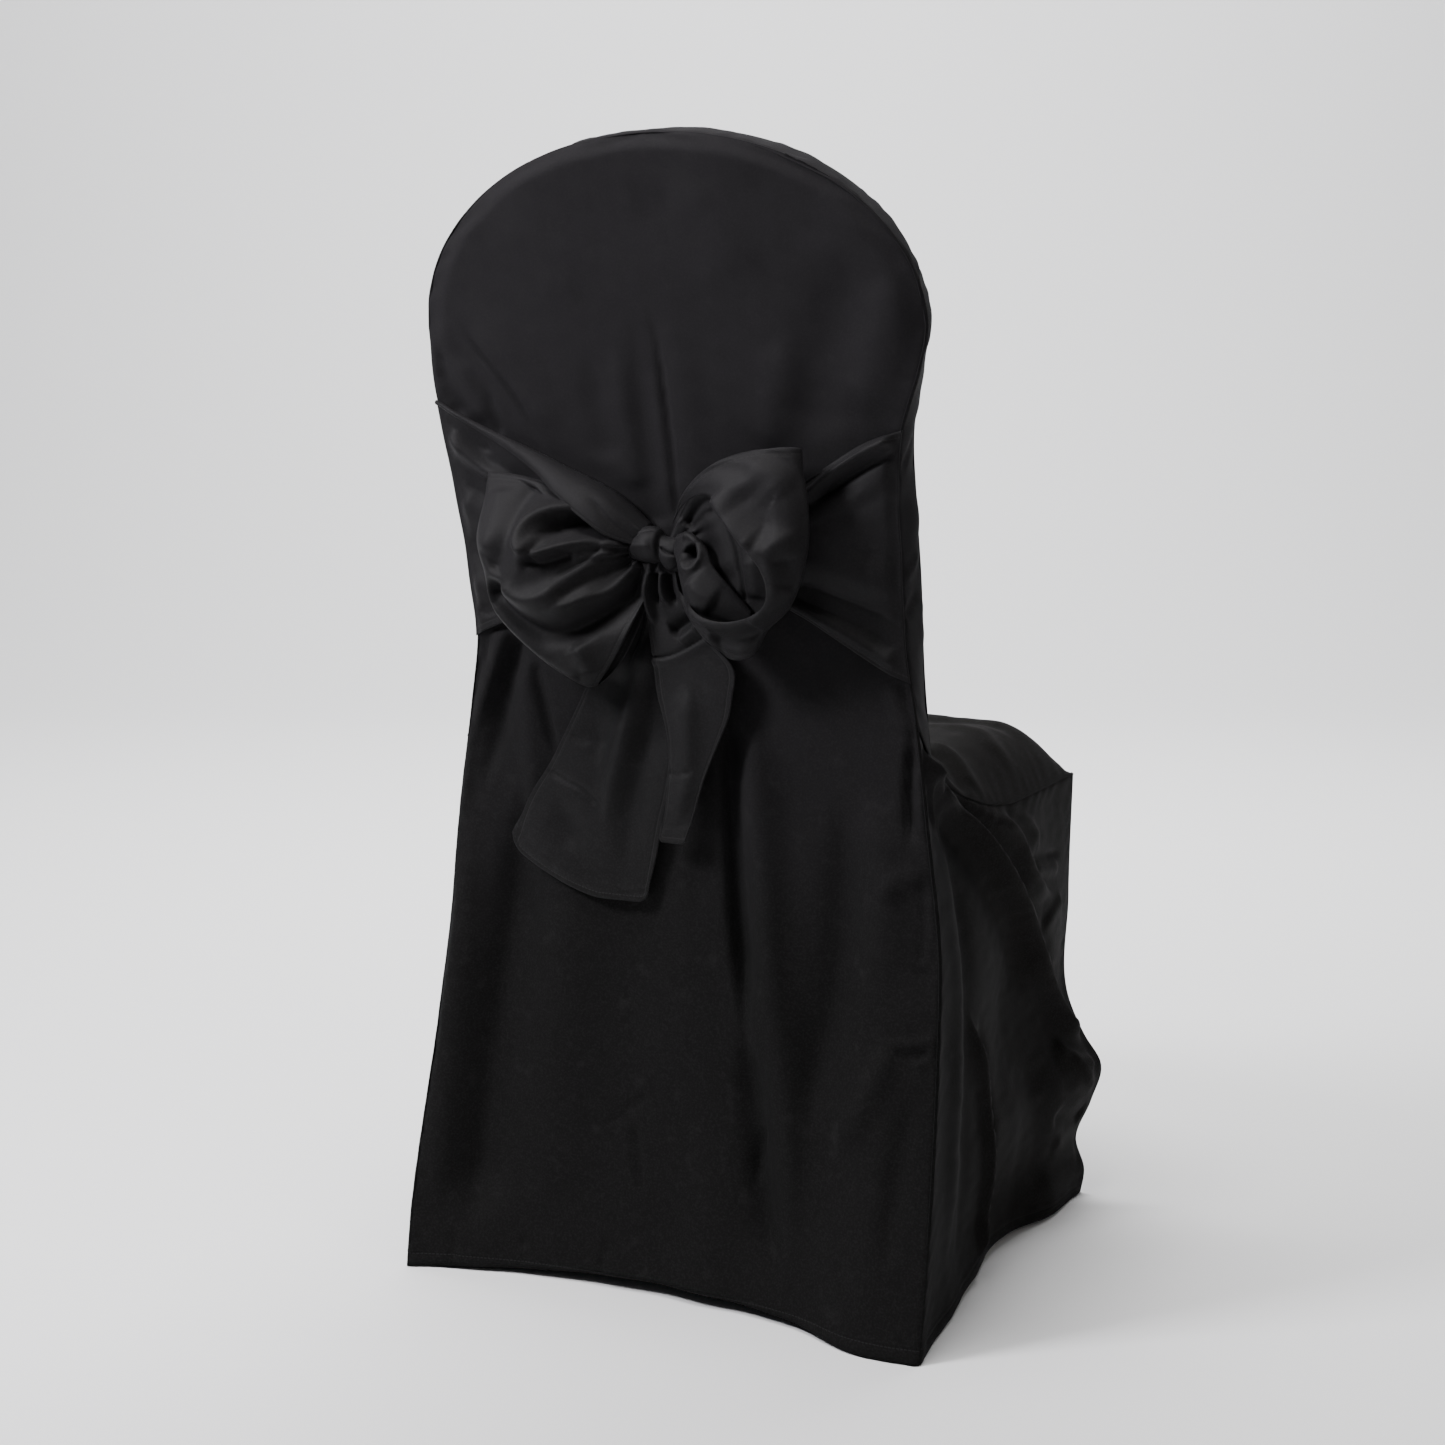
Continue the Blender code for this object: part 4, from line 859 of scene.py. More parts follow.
def boxing_surface(u, v):
    x, y, z, turn, in_arc = outline_at(u)
    fx, fy, fz = front_seam_point(x, y, z)
    out_x = np.where(in_arc, -np.cos(turn) * ARCH_RISE, np.where(u < 0.5, -1.0, 1.0))
    out_z = np.where(in_arc, np.sin(turn) * 0.216, 0.0)
    size = np.hypot(out_x, out_z)
    out_x, out_z = out_x / size, out_z / size
    run = u * BOXING_LENGTH
    depth = v * BACK_DEPTH
    edge = np.minimum(depth, BACK_DEPTH - depth)
    swell = 0.0018 * np.sin(math.pi * v) * ease(np.minimum(u, 1 - u) / 0.02)
    swell += seam_line(edge, run) + 0.0006 * ripple(run, depth, 0.05, 11)
    swell += creases(BOXING_CREASES, run, depth)
    px, py, pz = lerp(fx, x, v), lerp(fy, y - CLOTH * 0.6, v), lerp(fz, z, v)
    return np.stack([px + out_x * swell, py, pz + out_z * swell], axis=1)


def make_boxing_band():
    us = spread(BOXING_LENGTH, SKIRT_CELL)
    vs = spread(BACK_DEPTH, PANEL_CELL, SEAM_LINES)
    return cloth("boxing_band_satin", us, vs, boxing_surface, CLOTH, False,
                 lambda u, v, p: (u * BOXING_LENGTH, v * BACK_DEPTH), no_hem)


def front_surface(u, z):
    x, up = panel_place(u, z)
    y = seam_depth(up) - rolled(up)
    px, py, pz = front_seam_point(x, y, up)
    rows = (z - SEAT_LINE) / (ARCH_TOP - SEAT_LINE)
    across = np.maximum(np.sin(math.pi * u), 0)
    py = py - FRONT_SWELL * across ** 0.7 * ease(rows * 4.7) * ease((1 - rows) * 4.7)
    edge = np.minimum(np.maximum(edge_distance(x, up), 0), np.maximum(up - SEAT_LINE, 0))
    relief = creases(FRONT_PANEL_CREASES, px, pz) * ease(edge / 0.02)
    relief += 0.0008 * ripple(px, pz, 0.11, 21) + 0.00015 * ripple(px, pz, 0.02, 22)
    py = py - relief * ease(edge / 0.01) - seam_line(edge, pz)
    return np.stack([px, py, pz], axis=1)


def make_front_panel():
    us = spread(PANEL_WIDTH, FRONT_PANEL_CELL, SEAM_LINES)
    vs = fine_end(back_rows(SEAT_LINE, FRONT_PANEL_CELL, 30), (0, 0.5, 1.0))
    return cloth("front_panel_satin", us, vs, front_surface, CLOTH, False, upright_weave, no_hem)


# Seat

def crease_place():
    """Place in Y of the line where the seat meets the front panel."""
    x, z = panel_place(np.array([0.0]), np.array([SEAT_LINE]))
    return float(front_seam_point(x, seam_depth(z), z)[1][0]) + 0.002


CREASE_PLACE = crease_place()


def seat_edge(side, y):
    """The seat's side edge at a place in Y."""
    seam = np.array([float(half_width(side, SEAT_LINE))])
    corner_x = float(front_seam_point(seam, np.array([0.0]), np.array([SEAT_LINE]))[0][0])
    half = curve(SEAT_SIDE, "depth", "half", y)
    blend = ease((y - 0.03) / (CREASE_PLACE - 0.03))
    return lerp(side * half, corner_x, blend), curve(SEAT_SIDE, "depth", "height", y)


def seat_surface(u, v):
    y = lerp(SEAT_FRONT, CREASE_PLACE, v)
    right, height = seat_edge(-1, y)
    left, _ = seat_edge(1, y)
    x = lerp(right, left, u)
    from_side = np.minimum(u, 1 - u) * (left - right)
    from_front = y - SEAT_FRONT
    dome = rounded(from_side / SEAT_ROUND) * lerp(0.15, 1, rounded(from_front / SEAT_ROUND))
    dome *= ease(from_front / 0.018 + 0.12 * (from_front > 0))
    crown = lerp(height, SEAT_FRONT_HEIGHT + SEAT_CROWN, dome)
    z = lerp(CREASE_HEIGHT, crown, ease((CREASE_PLACE - y) / SEAT_REAR_FADE))
    z = np.where(from_side <= 0, height, z)
    edge = np.minimum(from_side, from_front)
    relief = creases(SEAT_CREASES, x, y) + 0.0012 * ripple(x, y, 0.1, 31)
    relief += 0.0002 * ripple(x, y, 0.02, 32)
    z = z + relief * ease(edge / 0.012) + seam_line(edge, y + x)
    return np.stack([x, y, z], axis=1)


def make_seat_panel():
    us = spread(SEAT_WIDTH, SKIRT_CELL, SEAM_LINES)
    vs = spread(SEAT_DEPTH, SKIRT_CELL, SEAM_LINES)
    return cloth("seat_panel_satin", us, vs, seat_surface, CLOTH, False,
                 lambda u, v, p: (p[:, 0], p[:, 1]), no_hem)


# Skirts

def corner(side, z):
    """Across and depth of the front vertical seam of the skirt."""
    column = "left" if side > 0 else "right"
    z = np.minimum(z, SEAT_FRONT_HEIGHT)
    return (side * curve(FRONT_CORNER, "height", column, z),
            curve(FRONT_CORNER, "height", "depth", z))


def skirt_top(side, station, crease):
    """Top edge of a side skirt: the seat's edge, then the boxing band's lower edge."""
    y_seat = lerp(SEAT_FRONT, CREASE_PLACE, np.clip(station / crease, 0, 1))
    x_seat, z_seat = seat_edge(side, y_seat)
    seam_x = np.array([float(half_width(side, SEAT_LINE))])
    seam_y, seam_z = seam_depth(np.array([SEAT_LINE])), np.array([SEAT_LINE])
    fx, fy, fz = front_seam_point(seam_x, seam_y, seam_z)
    share = np.clip((station - crease) / (1 - crease), 0, 1)
    x = np.where(station <= crease, x_seat, lerp(fx[0], seam_x[0], share))
    z = np.where(station <= crease, z_seat, lerp(fz[0], seam_z[0], share))
    return x, z


def skirt_surface(side, rows, seed):
    start, end = SEAT_FRONT, float(seam_depth(SEAT_LINE))
    crease = (CREASE_PLACE - start) / (end - start)

    def surface(station, share):
        top_x, top_z = skirt_top(side, station, crease)
        z = top_z * share
        lift = np.maximum(curve(SIDE_HEM, "along", "lift", station), 0)
        z = z + lift * (1 - ease(share * 2))
        front_x, front_y = corner(side, z)
        weight = (1 - station) ** 1.6
        y = lerp(front_y, seam_depth(z), station)
        base = lerp(half_width(side, z), front_x, weight)
        top_corner = corner(side, np.array([SEAT_FRONT_HEIGHT]))[0][0]
        top_base = lerp(half_width(side, top_z), top_corner, weight)
        x = base + (top_x - top_base) * ease((share - 0.45) / 0.55)
        x = x - side * curve(SIDE_HEM, "along", "inset", station) * ease(1 - z / HEM_REACH)
        calm = ease(station / 0.05) * ease((1 - station) / 0.05) * ease((1 - share) / 0.05)
        relief = creases(rows, y, z) * calm
        relief += (0.001 * ripple(y, z, 0.1, seed) + 0.0002 * ripple(y, z, 0.02, seed + 1)) * calm
        edge = np.minimum(np.minimum(station, 1 - station) * SKIRT_DEPTH, (1 - share) * top_z)
        relief += seam_line(edge, y * 0.7 + z) + hem_line(share * top_z)
        return np.stack([x + side * relief, y, z], axis=1)

    return surface


def make_side_skirt(name, side, rows, seed):
    us = spread(SKIRT_DEPTH, SKIRT_CELL, SEAM_LINES)
    vs = fine_end(hem_rows(SKIRT_HEIGHT, SKIRT_CELL) / SKIRT_HEIGHT, (0, 0.45, 0.75, 1))
    return cloth(name, us, vs, skirt_surface(side, rows, seed), CLOTH, side < 0,
                 lambda u, v, p: (p[:, 1], p[:, 2]), lambda u, v, p: v * SKIRT_HEIGHT)


def front_skirt_surface(u, share):
    top = SEAT_FRONT_HEIGHT - 0.0005
    z = top * share
    from_middle = np.abs(2 * u - 1)
    lift = np.maximum(curve(FRONT_HEM, "along", "lift", from_middle), 0)
    z = z + lift * (1 - ease(share * 2))
    right_x, right_y = corner(-1, z)
    left_x, left_y = corner(1, z)
    x = lerp(right_x, left_x, u)
    y = lerp(right_y, left_y, u)
    y = y + curve(FRONT_HEM, "along", "inset", from_middle) * ease(1 - z / HEM_REACH)
    calm = ease(np.minimum(u, 1 - u) / 0.04) * ease((1 - share) / 0.05)
    relief = creases(FRONT_CREASES, x, z) * calm
    relief += (0.001 * ripple(x, z, 0.1, 51) + 0.0002 * ripple(x, z, 0.02, 52)) * calm
    edge = np.minimum(np.minimum(u, 1 - u) * FRONT_SKIRT_WIDTH, (1 - share) * top)
    relief += seam_line(edge, x + z) + hem_line(share * top)
    return np.stack([x, y - relief, z], axis=1)


def make_front_skirt():
    us = spread(FRONT_SKIRT_WIDTH, FRONT_SKIRT_CELL, SEAM_LINES)
    vs = hem_rows(SEAT_FRONT_HEIGHT, FRONT_SKIRT_CELL) / SEAT_FRONT_HEIGHT
    return cloth("front_skirt_satin", us, vs, front_skirt_surface, CLOTH, False,
                 upright_weave, lambda u, v, p: v * SEAT_FRONT_HEIGHT)


# Sash

def tie_place(side, rows, u, m):
    """Across and up of a tie's point: share u from its seam to the knot, m from low to high."""
    low = curve(rows, "along", "low", u)
    high = curve(rows, "along", "high", u)
    z = lerp(low, high, m)
    to_seam = half_width(side, z) - rows["across"][0]
    x = curve(rows, "along", "across", u) + to_seam * np.maximum(1 - u / TIE_SEAM_REACH, 0) ** 2
    return x, z


def gathers(u, m, seed):
    """Small pleats that deepen towards the knot."""
    wander = m * 26 + 1.3 * np.sin(m * 9 + seed) + 0.8 * np.sin(u * 3 + seed)
    fine = m * 47 + 1.1 * np.sin(m * 14 + seed * 2)
    return 0.0011 * np.sin(wander) * ease((u - 0.45) / 0.5) \
        + 0.0005 * np.sin(fine) * ease((u - 0.7) / 0.3)


def tie_form(x, z, u, m, rows, seed):
    """Place in Y of a tie's cloth: it stands on the back, folded and gathered to the knot."""
    stand = lerp(0.0006, TIE_STAND, ease(u * 12)) + 0.0015 * ease(u * 1.2)
    relief = np.maximum(creases(rows, x, z) + 0.0022, 0) * ease(u * 14)
    return back_depth(x, z) + stand + relief, gathers(u, m, seed)


def left_tie_surface(u, v):
    m = np.clip(v / (1 - STRIP_SHARE), 0, 1)
    down = np.clip((v - (1 - STRIP_SHARE)) / STRIP_SHARE, 0, 1)
    x, z = tie_place(1, TIE_LEFT, u, m)
    y, pleats = tie_form(x, z, u, m, TIE_CREASES_LEFT, 2.0)
    y += pleats * (down <= 0) + 0.0008 * ripple(x, z, 0.05, 61)
    width = curve(TURNED_STRIP, "along", "width", u)
    front = curve(TURNED_STRIP, "along", "front", u)
    drop = width * down
    turn = np.minimum(drop / np.maximum(front * 1.1, 0.0015), 1)
    y += front * np.sqrt(1 - (1 - turn) ** 2)
    strip = np.sin(math.pi * np.clip(down, 0, 1))
    y += 0.001 * strip + creases(STRIP_CREASES, u, down * 0.35, crisp=True) * strip
    return np.stack([x, y, z - drop], axis=1)


def right_tie_surface(u, v):
    x, z = tie_place(-1, TIE_RIGHT, u, v)
    y, pleats = tie_form(x, z, u, v, TIE_CREASES_RIGHT, 5.0)
    return np.stack([x, y + pleats + 0.0008 * ripple(x, z, 0.05, 64), z], axis=1)


def make_tie(name, surface, flip):
    us = spread(TIE_LENGTH, 0.0018)
    vs = spread(TIE_CUT_WIDTH, 0.0017)
    return cloth(name, us, vs, surface, SASH_CLOTH, flip,
                 lambda u, v, p: (u * TIE_LENGTH, v * TIE_SEAM_HEIGHT),
                 lambda u, v, p: np.minimum(v, 1 - v) * TIE_SEAM_HEIGHT, 0.0)


def loop_surface(side, centre, rows, relief_rows, inner_rows, seed):
    seat = float(seam_depth(centre[1])) + BOW_SEAT

    def surface(u, v):
        reach = curve(rows, "across", "reach", v)
        rim = curve(rows, "across", "rim", v)
        depth = curve(rows, "across", "depth", v)
        span = 1 - 2 * (rim - LOOP_ROOT) / (reach - LOOP_ROOT)
        end = math.tau - np.arccos(np.clip(span, -1, 1))
        turn = end * u
        out = (1 - np.cos(turn)) / 2
        radius = LOOP_ROOT + (reach - LOOP_ROOT) * out
        angle = np.radians(lerp(curve(rows, "across", "root_angle", v),
                                curve(rows, "across", "tip_angle", v), out))
        x = centre[0] + side * radius * np.cos(angle)
        z = centre[1] + radius * np.sin(angle)
        swell = depth / 2 * np.sin(turn) * np.sqrt(np.maximum(out, 0))
        if inner_rows:
            swell = np.where(turn < math.pi, swell * 0.4, swell)
        front = ease((turn / math.pi - 1) * 7)
        y = seat + depth / 2 * ease(out * 1.6) - swell + curve(rows, "across", "base", v)
        gather = np.sin(v * 34 + 1.5 * np.sin(v * 11 + seed)) * 0.0011 * ease((0.42 - out) / 0.35)
        fine = np.sin(v * 71 + seed) * 0.0004 * ease((0.3 - out) / 0.25)
        y += (gather + fine) * ease(u * 6)
        y += creases(relief_rows, x, z, crisp=True) * front
        if inner_rows:
            y += creases(inner_rows, x, z, crisp=True) * (1 - front)
        y += 0.001 * ripple(u * 0.3, v * 0.16, 0.05, seed) * ease(out * 3)
        return np.stack([x, y, z], axis=1)

    return surface


def make_loop(name, side, surface, length, width):
    us = spread(length, 0.0021)
    vs = spread(width, 0.0015)
    return cloth(name, us, vs, surface, SASH_CLOTH, side > 0,
                 lambda u, v, p: (u * length, v * width),
                 lambda u, v, p: np.minimum(v, 1 - v) * width, 0.0)


def tongue_surface(u, v):
    """The right loop's cloth from the knot down to its opening's lower rim."""
    x = lerp(curve(TONGUE, "along", "low_x", u), curve(TONGUE, "along", "high_x", u), v)
    z = lerp(curve(TONGUE, "along", "low_z", u), curve(TONGUE, "along", "high_z", u), v)
    y = float(seam_depth(BOW_RIGHT[1])) + BOW_SEAT + curve(TONGUE, "along", "front", u)
    y = y + 0.007 * np.sin(math.pi * v ** 0.8) * ease(u * 3) * ease((1 - u) * 2 + 0.1)
    y -= 0.011 * np.maximum(1 - v / 0.3, 0) ** 2 + 0.003 * np.maximum((v - 0.8) / 0.2, 0) ** 2
    y += creases(TONGUE_CREASES, x, z, crisp=True)
    return np.stack([x, y, z], axis=1)


def make_tongue():
    us = spread(TONGUE_LENGTH, 0.0013)
    vs = spread(TONGUE_WIDTH, 0.0011)
    return cloth("bow_loop_right_tongue_satin", us, vs, tongue_surface, SASH_CLOTH, True,
                 lambda u, v, p: (u * TONGUE_LENGTH, v * TONGUE_WIDTH), no_hem, 0.0)


def tail_surface(rows, slant, corner_radius, relief_rows, seed):
    top, bottom = rows["height"][0], rows["height"][-1]

    def surface(u, v):
        z = lerp(top, bottom, v)
        right = curve(rows, "height", "right", z)
        left = curve(rows, "height", "left", z)
        stand = curve(rows, "height", "stand", z)
        x = lerp(right, left, u)
        z = z + slant * v ** 2 * (np.maximum(u - 0.35, 0) / 0.65) ** 1.5
        edge = np.clip(np.minimum(u, 1 - u) * (left - right) / corner_radius, 0, 1)
        z = z + corner_radius * (1 - np.sqrt(1 - (1 - edge) ** 2)) * ease((v - 0.84) / 0.16)
        relief = creases(relief_rows, x, z) + 0.0007 * ripple(x, z, 0.05, seed)
        relief += 0.0008 * (1 - ease(((1 - v) * (top - bottom) - 0.012) / 0.0018))
        pleat = np.cos(u * 13 + 1.2 * np.sin(u * 7 + seed)) * 0.002 * (1 - ease(v * 3.2))
        off = stand + relief + pleat - TAIL_FLOAT
        off = TAIL_FLOAT + (off + np.sqrt(off ** 2 + TAIL_FLOAT ** 2)) / 2
        return np.stack([x, back_depth(x, z) + off, z], axis=1)

    return surface


def make_tail(name, surface, width, length):
    us = spread(width, 0.0014)
    vs = spread(length, 0.0017)
    return cloth(name, us, vs, surface, SASH_CLOTH, False,
                 lambda u, v, p: (u * width, v * length),
                 lambda u, v, p: np.minimum(np.minimum(u, 1 - u) * width, (1 - v) * length), 0.0)


def make_knot():
    """The knot: a wrapped lobe and a smaller one behind its waist, with the wrap's creases."""
    bm = bmesh.new()
    bmesh.ops.create_uvsphere(bm, u_segments=120, v_segments=90, radius=1,
                              matrix=Matrix.Rotation(math.pi / 2, 4, "Y"))
    layer = bm.loops.layers.uv.new("weave")
    for face in bm.faces:
        face.smooth = True
        for loop in face.loops:
            spot = loop.vert.co
            loop[layer].uv = (math.atan2(spot.y, spot.z) * 0.014, spot.x * 0.022)
    mesh = bpy.data.meshes.new("bow_knot_satin")
    bm.to_mesh(mesh)
    bm.free()
    ball = mesh_points(mesh).astype(float)
    along = 0.5 - np.arcsin(np.clip(-ball[:, 0], -1, 1)) / math.pi
    around = np.arctan2(ball[:, 2], ball[:, 1])
    lift = creases(KNOT_CREASES, along, around * 0.5, crisp=True)
    lift += 0.0002 * np.sin(around * 5 + along * 9) * ease(along * 6) * ease((1 - along) * 6)
    ring = np.minimum(1, 40 * np.minimum(along, 1 - along))
    high = curve(KNOT, "along", "half_height", along) + lift * ring
    deep = curve(KNOT, "along", "half_depth", along) + lift * ring
    points = np.stack([curve(KNOT, "along", "across", along),
                       KNOT_DEPTH + deep * np.cos(around),
                       curve(KNOT, "along", "middle", along) + high * np.sin(around)], axis=1)
    mesh.vertices.foreach_set("co", (points + TO_MIDDLE).astype(np.float32).ravel())
    hem_distance(mesh, np.full(len(mesh.vertices), 1.0))
    return in_scene(mesh)


# Materials

STITCH_THREAD = (0.018, 0.0175, 0.018, 1)


def group(name, inputs, outputs):
    """An empty shader node group with named sockets, and its ends."""
    tree = bpy.data.node_groups.new(name, "ShaderNodeTree")
    for label, kind, value in inputs:
        made = tree.interface.new_socket(label, in_out="INPUT", socket_type=kind)
        if value is not None:
            made.default_value = value
    for label, kind in outputs:
        tree.interface.new_socket(label, in_out="OUTPUT", socket_type=kind)
    return tree, tree.nodes.new("NodeGroupInput"), tree.nodes.new("NodeGroupOutput")


def feed(tree, socket, value):
    """Give a socket its value: a plain one, or another node's output."""
    if isinstance(value, bpy.types.NodeSocket):
        tree.links.new(value, socket)
    elif value is not None:
        socket.default_value = value


def add_node(tree, kind, inputs):
    """A shader node with its inputs fed."""
    node = tree.nodes.new("ShaderNode" + kind)
    for label, value in inputs.items():
        feed(tree, node.inputs[label], value)
    return node


def math_node(tree, operation, a, b=None, c=None):
    node = add_node(tree, "Math", {0: a, 1: b, 2: c})
    node.operation = operation
    return node.outputs[0]


def noise(tree, vector, scale, detail):
    inputs = {"Vector": vector, "Scale": scale, "Detail": detail}
    return add_node(tree, "TexNoise", inputs).outputs[0]


def between(tree, value, low, high):
    """Share of a value's way from low to high."""
    inputs = {"Value": value, "From Min": low, "From Max": high}
    return add_node(tree, "MapRange", inputs).outputs[0]


def falling(tree, value, reach):
    """1 where a value is 0, falling to 0 where it is the reach."""
    left = math_node(tree, "SUBTRACT", 1.0, math_node(tree, "DIVIDE", value, reach))
    return math_node(tree, "MAXIMUM", left, 0.0)


def mixed(tree, share, first, second):
    """A colour between two, each a plain one or another node's output."""
    node = tree.nodes.new("ShaderNodeMix")
    node.data_type = "RGBA"
    for index, value in ((0, share), (6, first), (7, second)):
        feed(tree, node.inputs[index], value)
    return node.outputs[2]


def bump(tree, height, strength, distance, below=None):
    inputs = {"Height": height, "Strength": strength, "Distance": distance, "Normal": below}
    return add_node(tree, "Bump", inputs).outputs[0]


def placed_group(tree, source, inputs):
    node = tree.nodes.new("ShaderNodeGroup")
    node.node_tree = source
    for label, value in inputs.items():
        feed(tree, node.inputs[label], value)
    return node


def satin_weave_group():
    """Fine crossing threads: their height, and a mask that varies thread by thread."""
    tree, start, end = group(
        "satin_weave",
        [("Vector", "NodeSocketVector", None), ("Thread", "NodeSocketFloat", 0.00045)],
        [("Height", "NodeSocketFloat"), ("Slub", "NodeSocketFloat")])
    vector = start.outputs["Vector"]
    parts = add_node(tree, "SeparateXYZ", {0: vector})
    turns = math_node(tree, "DIVIDE", math.tau, start.outputs["Thread"])
    warp = math_node(tree, "SINE", math_node(tree, "MULTIPLY", parts.outputs[0], turns))
    weft_turns = math_node(tree, "MULTIPLY", turns, 0.62)
    weft = math_node(tree, "SINE", math_node(tree, "MULTIPLY", parts.outputs[1], weft_turns))
    crossed = math_node(tree, "MULTIPLY", warp, weft)
    ridge = math_node(tree, "MULTIPLY_ADD", warp, 0.45, crossed)
    feed(tree, end.inputs["Height"], math_node(tree, "MULTIPLY_ADD", ridge, 0.35, 0.5))
    stretch = add_node(tree, "Mapping", {"Vector": vector, "Scale": (2200.0, 60.0, 1.0)})
    feed(tree, end.inputs["Slub"], noise(tree, stretch.outputs[0], 1.0, 1.0))
    return tree


def stitch_group():
    """A row of stitches at a set distance from an edge: their height, and a mask of the thread."""
    tree, start, end = group(
        "hem_stitches",
        [("Distance", "NodeSocketFloat", 1.0), ("Run", "NodeSocketFloat", 0.0),
         ("Set in", "NodeSocketFloat", 0.011), ("Stitch", "NodeSocketFloat", 0.0032)],
        [("Height", "NodeSocketFloat"), ("Thread", "NodeSocketFloat")])
    off = math_node(tree, "SUBTRACT", start.outputs["Distance"], start.outputs["Set in"])
    away = math_node(tree, "ABSOLUTE", off)
    beat = math_node(tree, "DIVIDE", start.outputs["Run"], start.outputs["Stitch"])
    swing = math_node(tree, "SUBTRACT", math_node(tree, "FRACT", beat), 0.5)
    dash = math_node(tree, "LESS_THAN", math_node(tree, "ABSOLUTE", swing), 0.34)
    thread = math_node(tree, "MULTIPLY", falling(tree, away, 0.0007), dash)
    raised = math_node(tree, "MULTIPLY", thread, 0.7)
    height = math_node(tree, "SUBTRACT", raised, falling(tree, away, 0.0022))
    feed(tree, end.inputs["Height"], height)
    feed(tree, end.inputs["Thread"], thread)
    return tree


def painted_light_and_wear_group():
    """Black with painted light and shade: painted light makes it lighter and cooler high up,
    painted shade makes it darker and warmer at the sides and seat, with a slow drift and small
    worn marks."""
    # Its input colours: the low one is painted shade, the high one painted light, the side one
    # painted shade, and the worn one the cloth's own wear.
    tree, start, end = group(
        "black_with_painted_light",
        [("Vector", "NodeSocketVector", None),
         ("Low", "NodeSocketColor", (0.0062, 0.0062, 0.0061, 1)),
         ("High", "NodeSocketColor", (0.014, 0.0132, 0.0145, 1)),
         ("Side", "NodeSocketColor", (0.0052, 0.0048, 0.0045, 1)),
         ("Worn", "NodeSocketColor", (0.02, 0.0195, 0.02, 1))],
        [("Color", "NodeSocketColor"), ("Gloss", "NodeSocketFloat")])
    vector, worn = start.outputs["Vector"], start.outputs["Worn"]
    parts = add_node(tree, "SeparateXYZ", {0: vector})
    drift = noise(tree, vector, 5.0, 3.0)
    swing = math_node(tree, "MULTIPLY", math_node(tree, "SUBTRACT", drift, 0.5), 0.5)
    # Painted light and shade: the colour runs from darker low down to lighter and cooler high up,
    # as light falling from above.
    up = between(tree, math_node(tree, "ADD", parts.outputs[2], swing), 0.25, 0.75)
    # Painted shade: towards the front, on the side skirts, seat and front skirt, the colour turns
    # darker and warmer.
    forward = between(tree, parts.outputs[1], 0.15, 0.02)
    rubbed = between(tree, noise(tree, vector, 60.0, 5.0), 0.6, 0.8)
    grain = between(tree, noise(tree, vector, 620.0, 3.0), 0.44, 0.68)
    colour = mixed(tree, up, start.outputs["Low"], start.outputs["High"])
    colour = mixed(tree, forward, colour, start.outputs["Side"])
    colour = mixed(tree, math_node(tree, "MULTIPLY", rubbed, 0.35), colour, worn)
    colour = mixed(tree, math_node(tree, "MULTIPLY", grain, 0.32), colour, worn)
    feed(tree, end.inputs["Color"], colour)
    feed(tree, end.inputs["Gloss"], drift)
    return tree


def satin(name, groups, gloss, lustre, shade, thread, set_in):
    """Black satin: gloss is its roughness between folds, lustre its reflection, shade its
    lightness, thread its pitch and set_in the distance of its stitches from a hem."""
    weave, stitches, light_and_wear = groups
    material = bpy.data.materials.new(name)
    material.use_nodes = True
    tree = material.node_tree
    uv = add_node(tree, "UVMap", {})
    uv.uv_map = "weave"
    run = add_node(tree, "SeparateXYZ", {0: uv.outputs[0]}).outputs[0]
    edge = add_node(tree, "Attribute", {})
    edge.attribute_name = "hem"
    place = add_node(tree, "TexCoord", {}).outputs["Object"]
    woven = placed_group(tree, weave, {"Vector": uv.outputs[0], "Thread": thread})
    sewn = placed_group(tree, stitches, {"Distance": edge.outputs["Fac"], "Run": run,
                                         "Set in": set_in})
    black = placed_group(tree, light_and_wear, {"Vector": place})
    # Scale the painted light and shade colours to the cloth's lightness.
    for label in ("Low", "High", "Side"):
        plain = black.inputs[label].default_value[:3]
        black.inputs[label].default_value = (*(value * shade for value in plain), 1)
    rough = math_node(tree, "MULTIPLY_ADD", black.outputs["Gloss"], 0.16, gloss - 0.1)
    threads = bump(tree, woven.outputs["Height"], 0.45, 0.00012)
    slubs = bump(tree, woven.outputs["Slub"], 0.25, 0.00025, threads)
    shader = tree.nodes["Principled BSDF"]
    for label, value in (
            ("Base Color", mixed(tree, sewn.outputs["Thread"], black.outputs["Color"],
                                 STITCH_THREAD)),
            ("Roughness", math_node(tree, "MULTIPLY_ADD", woven.outputs["Slub"], 0.1, rough)),
            ("Normal", bump(tree, sewn.outputs["Height"], 0.5, 0.0006, slubs)),
            ("Specular IOR Level", lustre),
            ("Sheen Weight", 0.01),
            ("Sheen Roughness", 0.35),
            ("Sheen Tint", (0.82, 0.8, 0.9, 1.0))):
        feed(tree, shader.inputs[label], value)
    return material


# Stage

def make_camera():
    level = math.cos(VIEW_PITCH)
    aim = Vector((math.sin(VIEW_YAW) * level, -math.cos(VIEW_YAW) * level,
                  -math.sin(VIEW_PITCH)))
    camera = bpy.data.objects.new("camera", bpy.data.cameras.new("camera"))
    camera.location = Vector(VIEW_PLACE) + Vector(TO_MIDDLE)
    camera.rotation_euler = aim.to_track_quat("-Z", "Y").to_euler()
    camera.data.sensor_width = SENSOR_WIDTH
    camera.data.lens = VIEW_LENGTH * SENSOR_WIDTH
    bpy.context.scene.collection.objects.link(camera)
    bpy.context.scene.camera = camera


